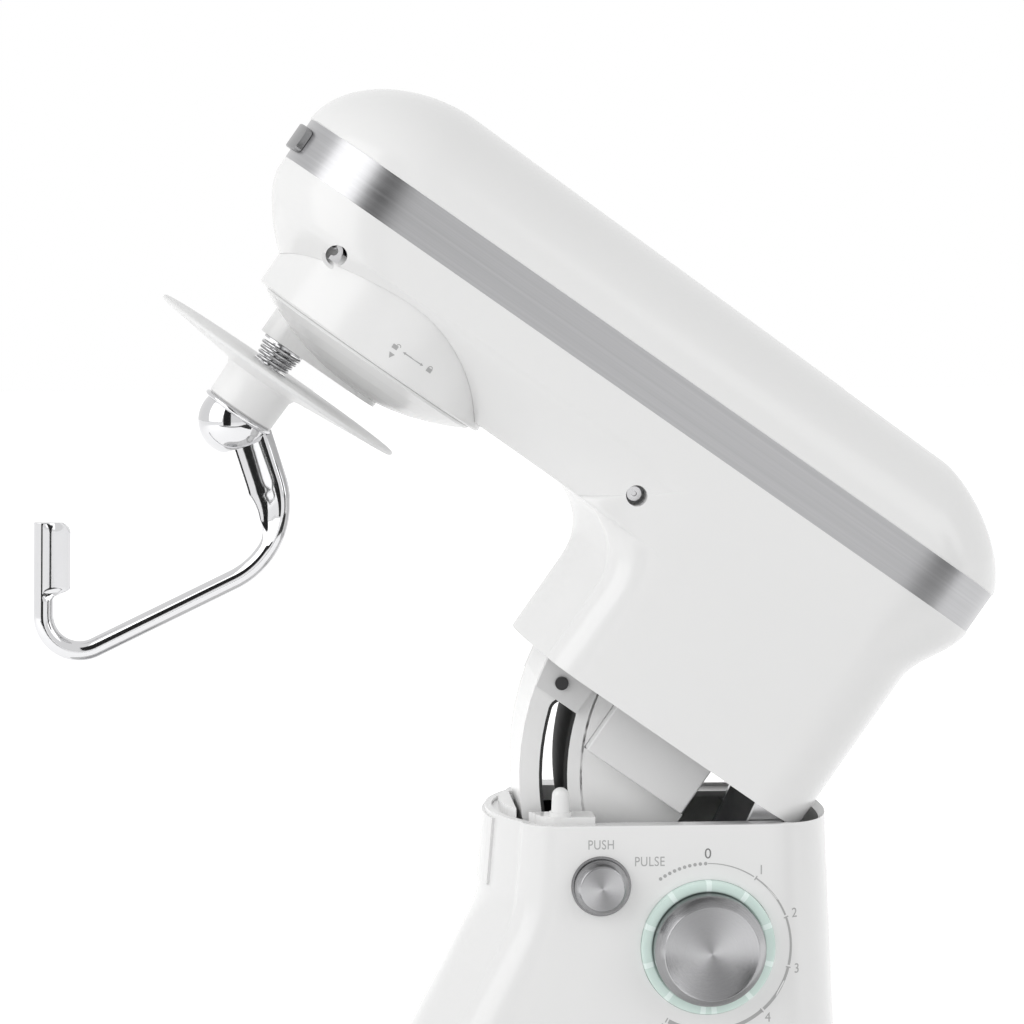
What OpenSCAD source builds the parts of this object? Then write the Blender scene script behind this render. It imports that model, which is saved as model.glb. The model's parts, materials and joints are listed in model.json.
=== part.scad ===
// Tilt-head stand mixer with its head locked open and a dough hook fitted.
// +X runs from the nose to the back, -Y is the dial side, and the origin is under the middle.
// Head pieces are drawn closed, measured from the hinge, and in_head() tilts them open.

/* [Overall] */
// Hinge height above the table
hinge_h = 193; // [185:1:205]
// Angle of the open head
open_angle = 35; // [20:1:35]

/* [Head shells] */
// Full width of the head
head_w = 124; // [118:1:132]
// Hinge to the tip of the nose
nose_reach = 340; // [334:1:350]
// Hinge to the tail of the head
tail_reach = 34.5; // [32:0.5:40]
// Length of the rounded nose
nose_len = 60; // [50:1:64]
// Length of the rounded tail
tail_len = 53; // [46:1:58]
// Rise of the top cover above the band
crown_h = 40; // [34:1:48]
// Bottom edge of the band above the hinge
band_z = 98; // [96:0.5:102]
// Height of the steel band
band_h = 20; // [14:0.5:24]
// How far the band sits back from the shells
band_inset = 0.5; // [0.2:0.1:1]
// Thickness of the steel band
band_t = 1.2; // [0.8:0.1:2]
// Wall of the head shells
shell_wall = 2.6; // [2:0.1:3.2]
// Width of the badge plate
badge_w = 50; // [30:1:60]
// Height of the badge plate
badge_h = 12; // [8:0.5:14]
// How far the badge plate stands proud
badge_proud = 2.4; // [1:0.1:3]

/* [Neck] */
// Full width of the neck and of the column's top
neck_w = 120; // [114:1:122]
// Hinge to the front of the neck
neck_reach = 135; // [132:0.5:138]
// Hinge to the back of the neck
neck_back = 23.3; // [22:0.1:24]
// Split between neck and column, below the hinge
split_drop = 17; // [16:0.5:18]
// Gap at the split when the head is down
split_gap = 1; // [0.6:0.1:2]
// Underside of the head above the hinge
belly_z = 50; // [48:0.5:52]
// Half width of the flat underside
belly_w = 45; // [40:1:48]
// Fillet between underside and neck
neck_fillet = 27; // [20:1:30]

/* [Mixing head] */
// Hinge to the axis of the planetary drive
hub_reach = 258.3; // [256:0.1:262]
// Radius of the hub skirt
skirt_r = 59; // [58:0.5:60]
// Lower edge of the hub skirt above the hinge
skirt_z = 46; // [45:0.5:47]
// Radius of the rotor
rotor_r = 54; // [52:0.5:55]
// Lowest face of the rotor above the hinge
rotor_z = 28.5; // [28:0.5:31]
// Radius of the carrier shaft
carrier_r = 8; // [7:0.5:9]
// Radius of the beater shaft
beater_r = 5; // [4.5:0.1:5.5]
// Radius of the guard disc
guard_r = 61.75; // [55:0.25:64]
// Top face of the guard disc above the hinge
guard_z = 17; // [16:0.5:18]
// How far the guard disc sits off the beater axis
guard_shift = 5; // [0:0.5:5]
// How far the hook lifts against its spring
hook_travel = 6; // [4:0.5:7]
// Lowest turn of the hook below the hinge
hook_drop = 156.5; // [150:0.5:158]
// Thickness of the hook's rod
hook_rod = 8.4; // [7:0.1:9]

/* [Gears] */
// Module of the planetary teeth
planet_mod = 1.4; // [1.3:0.05:1.4]
// Teeth of the fixed ring gear
ring_teeth = 60; // [60:12:60]
// Teeth of the planet pinion
planet_teeth = 12; // [12:1:12]
// Module of the reduction teeth
drive_mod = 1.5; // [1.4:0.05:1.5]
// Teeth of the drive gear
drive_teeth = 63; // [63:1:63]
// Teeth of the idler pinion
idler_teeth = 12; // [12:1:12]
// Face width of the gears
gear_face = 11; // [9:0.5:12]
// Radius of the large belt pulley
pulley_r = 38; // [34:0.5:39]
// Radius of the motor pulley
motor_pulley_r = 11; // [9:0.5:12]
// Play of the teeth and the belt
gear_play = 0.25; // [0.15:0.05:0.35]

/* [Motor] */
// Hinge to the motor axis
motor_reach = 53; // [52:0.5:54]
// Radius of the stator
stator_r = 34; // [31:0.5:35]
// Radius of the armature
armature_r = 19; // [17:0.5:21]
// Height of the stator stack
stator_h = 46; // [40:1:48]
// Half width of the cover under the neck
shroud_w = 40; // [38:0.5:41]
// Length of the cover under the neck
shroud_l = 46; // [45:0.5:47]
// Depth of the cover below the neck
shroud_d = 24.5; // [22:0.5:26]

/* [Tilt arm] */
// Outer radius of the slotted arm
arm_r = 120; // [118:0.5:121]
// Inner radius of the slotted arm
arm_inner_r = 92; // [90:0.5:94]
// Half width of the arm
arm_w = 32; // [28:0.5:33]
// Middle radius of the slot
slot_r = 104.9; // [104:0.1:106]
// Width of the slot in the arm
slot_w = 12.6; // [12:0.1:13]
// Wall of the black liner
liner_t = 1.4; // [1:0.1:1.6]
// Radius of the latch bar
latch_r = 3; // [2.4:0.1:3.2]
// Travel of the latch bar
latch_travel = 1.5; // [1:0.1:1.6]
// Radius of the hinge pin
pin_r = 4; // [3.5:0.1:5]

/* [Column and base] */
// Radius of the round front of the base
base_r = 112; // [108:1:118]
// Half width of the base under the column
base_rear_w = 98; // [94:1:104]
// Hinge to the back of the base
base_back = 45; // [42:1:52]
// Top of the bowl platform above the table
platform_h = 45; // [42:0.5:48]
// Wall of the base and column
cast_wall = 3; // [2.6:0.1:3.4]
// Height of the feet
foot_h = 4; // [3:0.5:5]
// Radius of the feet
foot_r = 14; // [11:0.5:16]
// Thickness of the bottom cover
cover_t = 2.5; // [2:0.1:3.5]
// Radius of the bowl seat
seat_r = 58; // [54:0.5:58]
// Depth of the bowl seat
seat_d = 9; // [7:0.5:10]

/* [Controls] */
// Radius of the light ring
dial_ring_r = 29.7; // [27:0.1:30]
// Radius of the speed dial
dial_r = 24.8; // [20:0.1:25]
// How far the speed dial stands out
dial_h = 20; // [14:0.5:24]
// Hinge to the dial axis, towards the nose
dial_reach = 38.8; // [38:0.1:40]
// Dial axis below the hinge
dial_drop = 72; // [70:0.5:73]
// Radius of the push button
button_r = 12; // [9:0.1:12.5]
// Hinge to the button axis, towards the nose
button_reach = 86; // [85:0.5:88]
// Button axis below the hinge
button_drop = 44.5; // [44:0.5:46]
// Travel of the push button
button_travel = 5; // [3:0.5:6]

/* [Clearances] */
// Radial clearance of shafts that turn
run_gap = 0.05; // [0.03:0.01:0.08]
// Clearance between neighbouring pieces
gap = 0.2; // [0.15:0.05:0.3]

/* [Hidden] */

$fn = 64;
half_w = head_w / 2;
neck_half = neck_w / 2;
cover_z = band_z + band_h;
nose_mid = -nose_reach + nose_len;
tail_mid = tail_reach - tail_len;
hub_x = -hub_reach;
orbit = planet_mod * (ring_teeth - planet_teeth) / 2;
beater_x = hub_x - orbit;
idler_x = hub_x + drive_mod * (drive_teeth + idler_teeth) / 2;
motor_x = -motor_reach;
skirt_top = belly_z + 22;
plate_top = skirt_top + 4;
pulley_z = plate_top + 4;
pulley_h = 14;
gear_z = pulley_z + pulley_h + 5;
bridge_z = gear_z + gear_face + 4;
shaft_end = bridge_z + 3;
ring_z = belly_z + 4;
rotor_top = skirt_z + 1.5;
stator_z = -10;
bell_top = stator_z + stator_h + 20;
column_top = hinge_h - split_drop - split_gap;
column_drop = column_top - platform_h;
pressure = 25;
hook_top = -6.6;

// Share of full width left at a share s of the height, for a superellipse of power p
function bulge(s, p) = pow(max(0, 1 - pow(min(1, abs(s)), p)), 1 / p);
function mix(a, b, s) = a + (b - a) * s;
function reversed(list) = [for (i = [len(list) - 1:-1:0]) list[i]];
// Whole outline from one side's [x, half width] points, nose tip first and tail last
function both_sides(side) = concat(
    [for (p = side) [p.x, -p.y]],
    [for (i = [len(side) - 2:-1:1]) [side[i].x, side[i].y]]
);
function highest(list) = max([for (v = list) v]);
function at_height(outline, z) = [for (p = outline) [p.x, p.y, z]];

// Triangles of the band between ring a and ring b, which start at points ka and kb
function band_faces(n, ka, kb, pts) = [
    for (i = [0:n - 1]) let (j = (i + 1) % n)
    for (t = [[ka + i, kb + i, kb + j], [ka + i, kb + j, ka + j]])
    if (norm(cross(pts[t[1]] - pts[t[0]], pts[t[2]] - pts[t[0]])) > 1e-6) t
];

// Thin wall between outer and inner rings, open at the bottom, closed or open at the top
module shell(outer, inner, open_top = true) {
    n = len(outer[0]);
    a = len(outer);
    b = len(inner);
    pts = concat([for (r = outer) each r], [for (r = inner) each r]);
    start = a * n;
    last_in = start + (b - 1) * n;
    last_out = (a - 1) * n;
    skins = concat(
        [for (k = [0:a - 2]) each band_faces(n, k * n, (k + 1) * n, pts)],
        [for (k = [0:b - 2]) each band_faces(n, start + (k + 1) * n, start + k * n, pts)],
        band_faces(n, start, 0, pts)
    );
    ends = open_top
        ? band_faces(n, last_out, last_in, pts)
        : [[for (i = [n - 1:-1:0]) last_out + i], [for (i = [0:n - 1]) last_in + i]];
    polyhedron(pts, concat(skins, ends));
}

// Closed solid through rings that each have the same number of points
module loft(rings) {
    n = len(rings[0]);
    m = len(rings);
    pts = [for (r = rings) each r];
    sides = [for (k = [0:m - 2]) each band_faces(n, k * n, (k + 1) * n, pts)];
    caps = [[for (i = [0:n - 1]) i], [for (i = [n - 1:-1:0]) (m - 1) * n + i]];
    polyhedron(pts, concat(sides, caps));
}

module at_hinge() translate([hinge_x, 0, hinge_h]) children();
module in_head() at_hinge() rotate([0, open_angle, 0]) children();
// Cylinder along Y from y1 to y2, at x and z
module rod_y(x, z, r, y1, y2) translate([x, y1, z]) rotate([-90, 0, 0]) cylinder(r = r, h = y2 - y1);
// Ring along Z
module ring_z(ro, ri, h) difference() {
    cylinder(r = ro, h = h);
    translate([0, 0, -1]) cylinder(r = ri, h = h + 2);
}
module box(lo, hi) translate(lo) cube(hi - lo);
// Flat profile in X and Z, given a width along Y
module slab(width) rotate([90, 0, 0]) linear_extrude(width, center = true) children();

// ---- Outlines of the head ----

// Side of the head at a share s of the crown's height, set in by w
function cover_side(s, w) = concat(
    [for (t = [0:7.5:90]) [
        nose_mid - (nose_len - w) * bulge(s, 1.85) * pow(cos(t), 0.91),
        (half_w - w) * bulge(s, 2.1) * pow(sin(t), 0.91)]],
    [for (t = [0:7.5:90]) [
        tail_mid + (tail_len - w) * bulge(s, 1.6) * pow(sin(t), 0.85),
        (half_w - w) * bulge(s, 2.1) * pow(cos(t), 0.85)]]
);
// The crown is a little higher over the nose than over the tail
function crown_at(x, w) = crown_h - w + (-x - 150) / 60;
function cover_ring(s, w, z) = [
    for (p = both_sides(cover_side(s, w))) [p.x, p.y, z + s * crown_at(p.x, w)]];

// Share of the neck's fillet that is reached at height z
function fillet_at(z) = let (d = (z - belly_z + neck_fillet) / neck_fillet)
    d <= 0 ? 0 : 1 - sqrt(max(0, 1 - min(1, d) * min(1, d)));
function housing_nose(z) =
    nose_mid - (nose_len - 0.5) * bulge(max(0, band_z - 6 - z) / (band_z - belly_z), 1.5);
function housing_tail(z) = z < belly_z ? neck_back
    : mix(neck_back, tail_reach, pow((z - belly_z) / (band_z - belly_z), 1.7));
function belly_rise(z) = min(1, max(0, (z - belly_z) / 35));
function housing_half(z) = mix(neck_half, half_w, min(1, max(0, (z + split_drop) / 100)));
function belly_half(z) = mix(belly_w, housing_half(z), bulge(1 - belly_rise(z), 2));

// Side of the neck alone at height z, set in by w, with its fillet as it is at height zf
function neck_side(z, zf, w) =
    let (xf = -neck_reach - neck_fillet * fillet_at(zf) + w,
         xc = -neck_reach + 14 - 30 * fillet_at(zf) + w,
         xe = -neck_reach + 32)
    concat(
        [for (i = [0:13]) let (s = i / 13) [mix(xf, xc, pow(s, 2.2)), (belly_w - w) * s]],
        [for (t = [15:15:90]) [xe - (xe - xc) * cos(t), mix(belly_w, housing_half(z), sin(t)) - w]],
        tail_side(z, w)
    );
// Side of the whole housing at height z, set in by w
function tub_side(z, w) =
    let (r = belly_rise(z),
         yb = belly_half(z) - w,
         xn = housing_nose(z) + w,
         xc = mix(-neck_reach - 16, -neck_reach + 29, r) + w,
         xe = mix(-neck_reach + 32, -neck_reach + 42, r))
    concat(
        [for (i = [0:11]) let (t = i * 90 / 11)
            [nose_mid - (nose_mid - xn) * pow(cos(t), 0.91), yb * pow(sin(t), 0.91)]],
        [for (i = [1:2]) [mix(nose_mid, xc, i / 2), yb]],
        [for (t = [15:15:90]) [xe - (xe - xc) * cos(t), mix(yb, housing_half(z) - w, sin(t))]],
        tail_side(z, w)
    );
function tail_side(z, w) =
    let (s = min(1, max(0, (z - belly_z) / (band_z - belly_z))), xm = mix(-12, tail_mid, s))
    [for (t = [0:9:90]) [
        xm + (housing_tail(z) - w - xm) * pow(sin(t), 0.8),
        (housing_half(z) - w) * pow(cos(t), 0.8)]];

// The hinge stands where base and open head together are centred on the origin
head_back = highest([for (k = [0:5:90]) let (s = sin(k), x = tail_mid + tail_len * bulge(s, 1.6))
    x * cos(open_angle) + (cover_z + s * crown_at(x, 0)) * sin(open_angle)]);
hinge_x = (hub_reach + base_r - head_back) / 2;

// ---- Outlines of the column and base ----

// Spread of a fillet of radius r into the platform, at a depth d below the column's rim
function foot_spread(d, r) =
    let (s = min(1, max(0, d - column_drop + r) / r)) r * (1 - sqrt(1 - s * s));
// The front is upright at first, then curves out into the shoulder
function column_front(d) = -neck_reach + 2 - 0.085 * d
    - 50 * (1 - cos(min(25, asin(min(1, max(0, d - 32) / 50)))))
    - 0.43 * max(0, d - 53) - foot_spread(d, 11);
function column_half(d) = neck_half + 0.05 * d + foot_spread(d, 20);
function column_back(d) = neck_back - 2 + 0.06 * d + foot_spread(d, 9);
function column_side(z, w) =
    let (d = max(0, column_top - z),
         xf = column_front(d) + w,
         xe = mix(-neck_reach + 32, -neck_reach + 5, max(0, d - 32) / (column_drop - 32)),
         half = column_half(d) - w,
         xb = column_back(d) - w)
    concat(
        [for (i = [0:10]) let (s = i / 10) [mix(xf, xf + 13, pow(s, 2.2)), 0.75 * half * s]],
        [for (t = [18:18:90]) [xe - (xe - xf - 13) * cos(t), half * mix(0.75, 1, sin(t))]],
        [for (t = [0:9:90]) [-12 + (xb + 12) * pow(sin(t), 0.8), half * pow(cos(t), 0.8)]]
    );
// The base's top edge is rounded over the last 10 mm
function edge_inset(z) = let (d = max(0, z - platform_h + 10) / 10) 10 * (1 - sqrt(1 - d * d));
function base_side(z, w) =
    let (e = edge_inset(z) + w, r = base_r - e)
    concat(
        [for (i = [0:10]) let (t = 10 * i) [hub_x - r * cos(t), r * sin(t)]],
        [for (i = [1:5]) [mix(hub_x + base_r * 0.17, -60, i / 5),
                          mix(base_r * 0.985, base_rear_w, i / 5) - e]],
        [for (t = [0:9:90]) [-60 + (base_back + 60 - e) * pow(sin(t), 0.8),
                             (base_rear_w - e) * pow(cos(t), 0.8)]]
    );
function placed(side, z) = at_height([for (p = both_sides(side)) [p.x + hinge_x, p.y]], z);

// ---- Stand ----

base_levels = [foot_h, 20, platform_h - 10, platform_h - 6, platform_h - 3, platform_h - 1, platform_h];
column_levels = [
    for (d = [0, 0.6, 2, 4.5, 8, 13, 20]) platform_h + d,
    for (d = [98, 85, 70, 60, 52, 46, 40, 32, 16, 0]) column_top - d];

module base_casting() color("white") difference() {
    shell(
        concat(
            [for (z = base_levels) placed(base_side(z, 0), z)],
            [for (z = column_levels) placed(column_side(z, 0), z)]
        ),
        concat(
            [for (z = [foot_h, platform_h - 10, platform_h - cast_wall])
                placed(base_side(z, cast_wall), z)],
            [placed(column_side(platform_h, cast_wall), platform_h - cast_wall)],
            [for (d = [column_drop - 6, 105, 85, 60, 46, 32, 0])
                placed(column_side(column_top - d, cast_wall), column_top - d)]
        )
    );
    // Hole for the bowl seat
    translate([hinge_x + hub_x, 0, platform_h - cast_wall - 1])
        cylinder(r = seat_r + 3 + gap, h = cast_wall + 2);
    at_hinge() {
        // Room for the neck's back edge as it swings
        rotate([-90, 0, 0]) rotate_extrude() polygon(concat(
            [[0, neck_half + 0.7]],
            [for (t = [0:9:90]) swing_room(-split_drop, t, 1)],
            [for (t = [81:-9:0]) swing_room(-split_drop, t, -1)],
            [[0, -neck_half - 0.7]]));
        rod_y(-dial_reach, -dial_drop, dial_ring_r + gap, -neck_half - 15, -neck_half + 8);
        rod_y(-button_reach, -button_drop, button_r + 2.2 + gap, -neck_half - 15, -neck_half + 8);
    }
    // Hole for the cord inlet
    translate([hinge_x + base_back - 12, 0, inlet_z]) rotate([0, 90, 0]) cylinder(r = inlet_r, h = 20);
}
inlet_z = 22;
inlet_r = 7;
// Radius about the hinge that the neck's back edge reaches, and its place along the hinge
function swing_room(z, t, side) = let (p = tail_side(z, 0)[t / 9])
    [norm([max(0, p.x), z]) + 0.7, side * (p.y + 0.7)];

module base_cover() color("gray") translate([0, 0, foot_h]) linear_extrude(cover_t) difference() {
    polygon([for (p = both_sides(base_side(foot_h, cast_wall))) [p.x + hinge_x, p.y]]);
    for (p = screw_spots) translate(p) circle(r = 2);
}
foot_spots = [
    for (s = [-1, 1]) each [[hinge_x + hub_x - 40, s * 72], [hinge_x - 10, s * 66]],
    [hinge_x + hub_x + 88, 0]];
screw_spots = [for (s = [-1, 1]) each [[hinge_x + hub_x + 20, s * 88], [hinge_x - 75, s * 76]]];

module feet() color("dimgray") for (p = foot_spots) translate(p) rotate_extrude()
    polygon([[0, 1.2], [foot_r - 5, 1.2], [foot_r - 3, 0], [foot_r, 0], [foot_r - 1.5, foot_h], [0, foot_h]]);

module base_screws() color("silver") for (p = screw_spots) translate(p) {
    translate([0, 0, foot_h - 1.5]) cylinder(r = 4, h = 1.5);
    translate([0, 0, foot_h - 0.5]) cylinder(r = 2, h = 12);
}

// Dish that the bowl's foot drops into, with three bayonet lugs over its edge
module bowl_seat() color("silver") translate([hinge_x + hub_x, 0, 0]) {
    difference() {
        union() {
            translate([0, 0, platform_h]) cylinder(r = seat_r + 6, h = 1.2);
            translate([0, 0, platform_h - seat_d - 2]) cylinder(r = seat_r + 3, h = seat_d + 2);
        }
        translate([0, 0, platform_h - seat_d]) cylinder(r = seat_r, h = seat_d + 3);
    }
    for (a = [30, 150, 270]) rotate([0, 0, a]) intersection() {
        translate([0, 0, platform_h - 1]) ring_z(seat_r + 2, seat_r - 5, 2.2);
        translate([0, -9, 0]) cube([seat_r + 6, 18, platform_h + 5]);
    }
}

module cord_inlet() color("dimgray") translate([hinge_x + base_back - 9, 0, inlet_z]) rotate([0, 90, 0])
    difference() {
        union() {
            cylinder(r = inlet_r, h = 14);
            cylinder(r = inlet_r + 2, h = 3);
        }
        translate([0, 0, -1]) cylinder(r = 3.6, h = 20);
    }

tray_z = -split_drop - split_gap - 4;
// Deck inside the column's rim, open in the middle for the arm and the motor cover
module column_tray() color("white") at_hinge() difference() {
    union() {
        translate([0, 0, tray_z]) linear_extrude(2.5) polygon(tray_edge());
        // Raised front corners of the deck
        intersection() {
            translate([0, 0, tray_z]) linear_extrude(7) polygon(tray_edge(3));
            box([-neck_reach - 5, -neck_half, tray_z], [-88, neck_half, tray_z + 7]);
        }
    }
    // Well for the arm, wider behind it for the motor cover
    box([-arm_r - 1, -arm_w - 5, tray_z - 1], [-80, arm_w + 5, tray_z + 20]);
    box([-88, -shroud_w - 2, tray_z - 1], [0, shroud_w + 2, tray_z + 20]);
    box([-4.1, -neck_half - 5, tray_z - 1], [60, neck_half + 5, tray_z + 20]);
}
function tray_edge(w = 0) = both_sides(column_side(column_top - 4, cast_wall + 2 * gap + w));

// Strip on the column's front, with a step where it ends
module front_trim() color("white") loft([for (d = [2, 12, 22, 32]) front_patch(d, 1.2)]);
function front_patch(d, proud) =
    let (z = column_top - d,
         out = [for (p = column_side(z, -proud)) if (p.y < 26 && p.x < -100) p],
         back = [for (i = [0:len(out) - 1]) column_side(z, -0.02)[i]])
    [for (p = concat(reversed([for (q = out) if (q.y > 0) [q.x, q.y]]), [for (q = out) [q.x, -q.y]],
                     reversed([for (q = back) [q.x, -q.y]]), [for (q = back) if (q.y > 0) q]))
        [p.x + hinge_x, p.y, z]];

module guide_post() color("white") at_hinge() translate([-103, -49, tray_z + 7]) {
    cylinder(r = 5, h = 2);
    cylinder(r1 = 4.2, r2 = 3.8, h = 9);
    translate([0, 0, 9]) sphere(r = 3.8);
}

ear_y = 36;
ear_t = 4;
// Steel bracket that carries the hinge pin
module hinge_bracket() color("silver") at_hinge() difference() {
    union() {
        for (s = [-1, 1]) translate([0, s * (ear_y + ear_t / 2), 0]) slab(ear_t) {
            circle(r = pin_r + 5);
            polygon([[-pin_r - 5, 0], [pin_r + 5, 0], [-4, -24], [-6, -36], [-26, -36]]);
        }
        box([-26, -ear_y - ear_t, -38], [1, ear_y + ear_t, -36]);
        // Wings screwed up against the deck
        for (s = [-1, 1]) translate([-14, s * (ear_y + 11), tray_z - 1.25]) cube([12, 18, 2.5], center = true);
    }
    rod_y(0, 0, pin_r, -ear_y - ear_t - 1, ear_y + ear_t + 1);
}
lug_y = ear_y + ear_t + 1;
lug_t = 5;
module hinge_pin() color("silver") at_hinge() rod_y(0, 0, pin_r, -lug_y - lug_t - 1, lug_y + lug_t + 1);

latch_angle = 19.5;
latch_x = -slot_r * cos(latch_angle);
latch_z = -slot_r * sin(latch_angle);
rail_y = 44.5;
// Rails under the deck that the latch bar slides in
module latch_guides() color("dimgray") at_hinge() for (s = [-1, 1]) difference() {
    translate([latch_x - 9, s * rail_y - (s > 0 ? 0 : 4), latch_z - 7]) cube([18, 4, tray_z - latch_z + 7]);
    translate([latch_x, s * rail_y, latch_z]) slab(12) {
        translate([-latch_travel / 2, 0]) square([latch_travel, 2 * (latch_r + gap)], center = true);
        for (x = [0, -latch_travel]) translate([x, 0]) circle(r = latch_r + gap);
    }
}
// The bar's end plate is pushed aside by the button's cone
plate_y = -rail_y - 5;
cone_slope = latch_travel / button_travel;
module latch_bar() color("silver") at_hinge() {
    rod_y(latch_x, latch_z, latch_r, plate_y, rail_y + 3.5);
    box([latch_x - 3, plate_y - 1, -button_drop - 3], [-button_reach - 2.2, plate_y + 0.5, latch_z + 3]);
}

// ---- Controls ----

dial_face = -neck_half - 6;
module dial_light_ring() color("teal") at_hinge() difference() {
    rod_y(-dial_reach, -dial_drop, dial_ring_r, dial_face, dial_face + 11);
    rod_y(-dial_reach, -dial_drop, dial_r + 0.4, dial_face - 1, dial_face + 8);
    rod_y(-dial_reach, -dial_drop, 3 + run_gap, dial_face, dial_face + 12);
}
module speed_dial() color("silver") at_hinge() translate([-dial_reach, dial_face + 7, -dial_drop])
    rotate([90, 0, 0]) difference() {
        rotate_extrude() polygon([
            [0, 0], [dial_r, 0], [dial_r, dial_h - 6], [dial_r - 1, dial_h - 0.5], [dial_r - 2, dial_h],
            [dial_r - 4, dial_h], [dial_r - 5, dial_h - 1], [0, dial_h - 1]]);
        translate([0, 0, -1]) cylinder(r = 3, h = 9);
    }
module dial_shaft() color("silver") at_hinge()
    rod_y(-dial_reach, -dial_drop, 3, dial_face - 1, dial_face + 18);
module speed_switch() color("dimgray") at_hinge() difference() {
    rod_y(-dial_reach, -dial_drop, 12, dial_face + 11, dial_face + 20);
    rod_y(-dial_reach, -dial_drop, 3 + run_gap, dial_face + 10, dial_face + 19);
}
module control_board() color("green") at_hinge()
    box([-dial_reach - 38, dial_face + 20, -dial_drop - 32],
        [-dial_reach + 34, dial_face + 21.6, -dial_drop + 24]);

module push_bezel() color("silver") at_hinge() difference() {
    rod_y(-button_reach, -button_drop, button_r + 2.2, -neck_half - 3, -neck_half + 4);
    rod_y(-button_reach, -button_drop, button_r + gap, -neck_half - 4, -neck_half + 5);
}
module push_button() color("silver") at_hinge() translate([-button_reach, -neck_half + 1, -button_drop])
    rotate([90, 0, 0]) {
        rotate_extrude() polygon(concat(
            [[0, 0], [button_r, 0], [button_r, 7]],
            [for (t = [15:15:75]) [button_r * cos(t), 7 + 3 * sin(t)]], [[0, 10]]));
        // Cone that moves the latch bar
        translate([0, 0, plate_from - 1]) cylinder(r1 = 1.5 - cone_slope, r2 = 1.5 + cone_slope * button_travel,
                                              h = 1 + button_travel);
        translate([0, 0, plate_from + button_travel - 0.01]) cylinder(
            r = 1.5 + latch_travel, h = -plate_from - button_travel + 0.02);
    }
// Latch plate as seen from the inner face of the button
plate_from = -neck_half + 1 - plate_y + 1;

// ---- Head shells ----

module head_top_cover() color("white") in_head() shell(
    [for (f = [0, 12, 24, 36, 48, 60, 70, 79, 86]) cover_ring(sin(f), 0, cover_z)],
    [for (f = [0, 18, 36, 54, 70, 83]) cover_ring(sin(f), shell_wall, cover_z)],
    false);

module trim_band() color("silver") in_head() translate([0, 0, band_z]) linear_extrude(band_h) difference() {
    polygon(both_sides(cover_side(0, band_inset)));
    polygon(both_sides(cover_side(0, band_inset + band_t)));
}
module badge_plate() color("silver") in_head() intersection() {
    translate([0, 0, band_z + (band_h - badge_h) / 2]) linear_extrude(badge_h) difference() {
        polygon(both_sides(cover_side(0, -badge_proud)));
        polygon(both_sides(cover_side(0, band_inset)));
    }
    box([-nose_reach - 10, -badge_w / 2, band_z], [nose_mid, badge_w / 2, cover_z]);
}

module head_lower_housing() color("white") in_head() difference() {
    shell(
        concat(
            [for (z = [-split_drop, 0, belly_z - neck_fillet, belly_z - 16, belly_z - 9, belly_z - 4,
                       belly_z - 1.2, belly_z]) at_height(both_sides(neck_side(z, z, 0)), z)],
            [for (z = [belly_z, belly_z + 2, belly_z + 6, belly_z + 11, belly_z + 17, belly_z + 23,
                       belly_z + 29, belly_z + 35, band_z - 6, band_z])
                at_height(both_sides(tub_side(z, 0)), z)]
        ),
        concat(
            [for (z = [-split_drop, belly_z - neck_fillet, belly_z - 9, belly_z - 3, belly_z])
                at_height(both_sides(neck_side(z, z, shell_wall)), z + (z > 0 ? shell_wall : 0))],
            [for (z = [belly_z, belly_z + 6, belly_z + 14, belly_z + 24, belly_z + 35, band_z])
                at_height(both_sides(tub_side(z, shell_wall)), z + (z < band_z ? shell_wall : 0))]
        )
    );
    translate([hub_x, 0, belly_z - 8]) cylinder(r = skirt_r + gap, h = skirt_top - belly_z + 8);
    for (p = side_screw_spots) rod_y(p.x, p.y, 4.6, -half_w - 2, half_w + 2);
}
side_screw_spots = [[-neck_reach - 165, belly_z + 26], [-neck_reach + 4, belly_z + 14]];

module hub_skirt() color("white") in_head() translate([hub_x, 0, 0]) rotate_extrude() polygon([
    [skirt_r - 3, skirt_z], [skirt_r, skirt_z], [skirt_r, skirt_top], [20, skirt_top],
    [20, skirt_top - 3], [skirt_r - 3, skirt_top - 3]]);

boss_end = 51;
module side_screws() color("silver") in_head() for (p = side_screw_spots, s = [-1, 1]) difference() {
    union() {
        rod_y(p.x, p.y, 4.2, s > 0 ? boss_end : -boss_end - 3, s > 0 ? boss_end + 3 : -boss_end);
        rod_y(p.x, p.y, 2, s > 0 ? 44 : -boss_end - 1, s > 0 ? boss_end + 1 : -44);
    }
    translate([p.x, s * (boss_end + 3), p.y]) cube([10, 2.4, 1], center = true);
}

// ---- Chassis and drive ----

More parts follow.
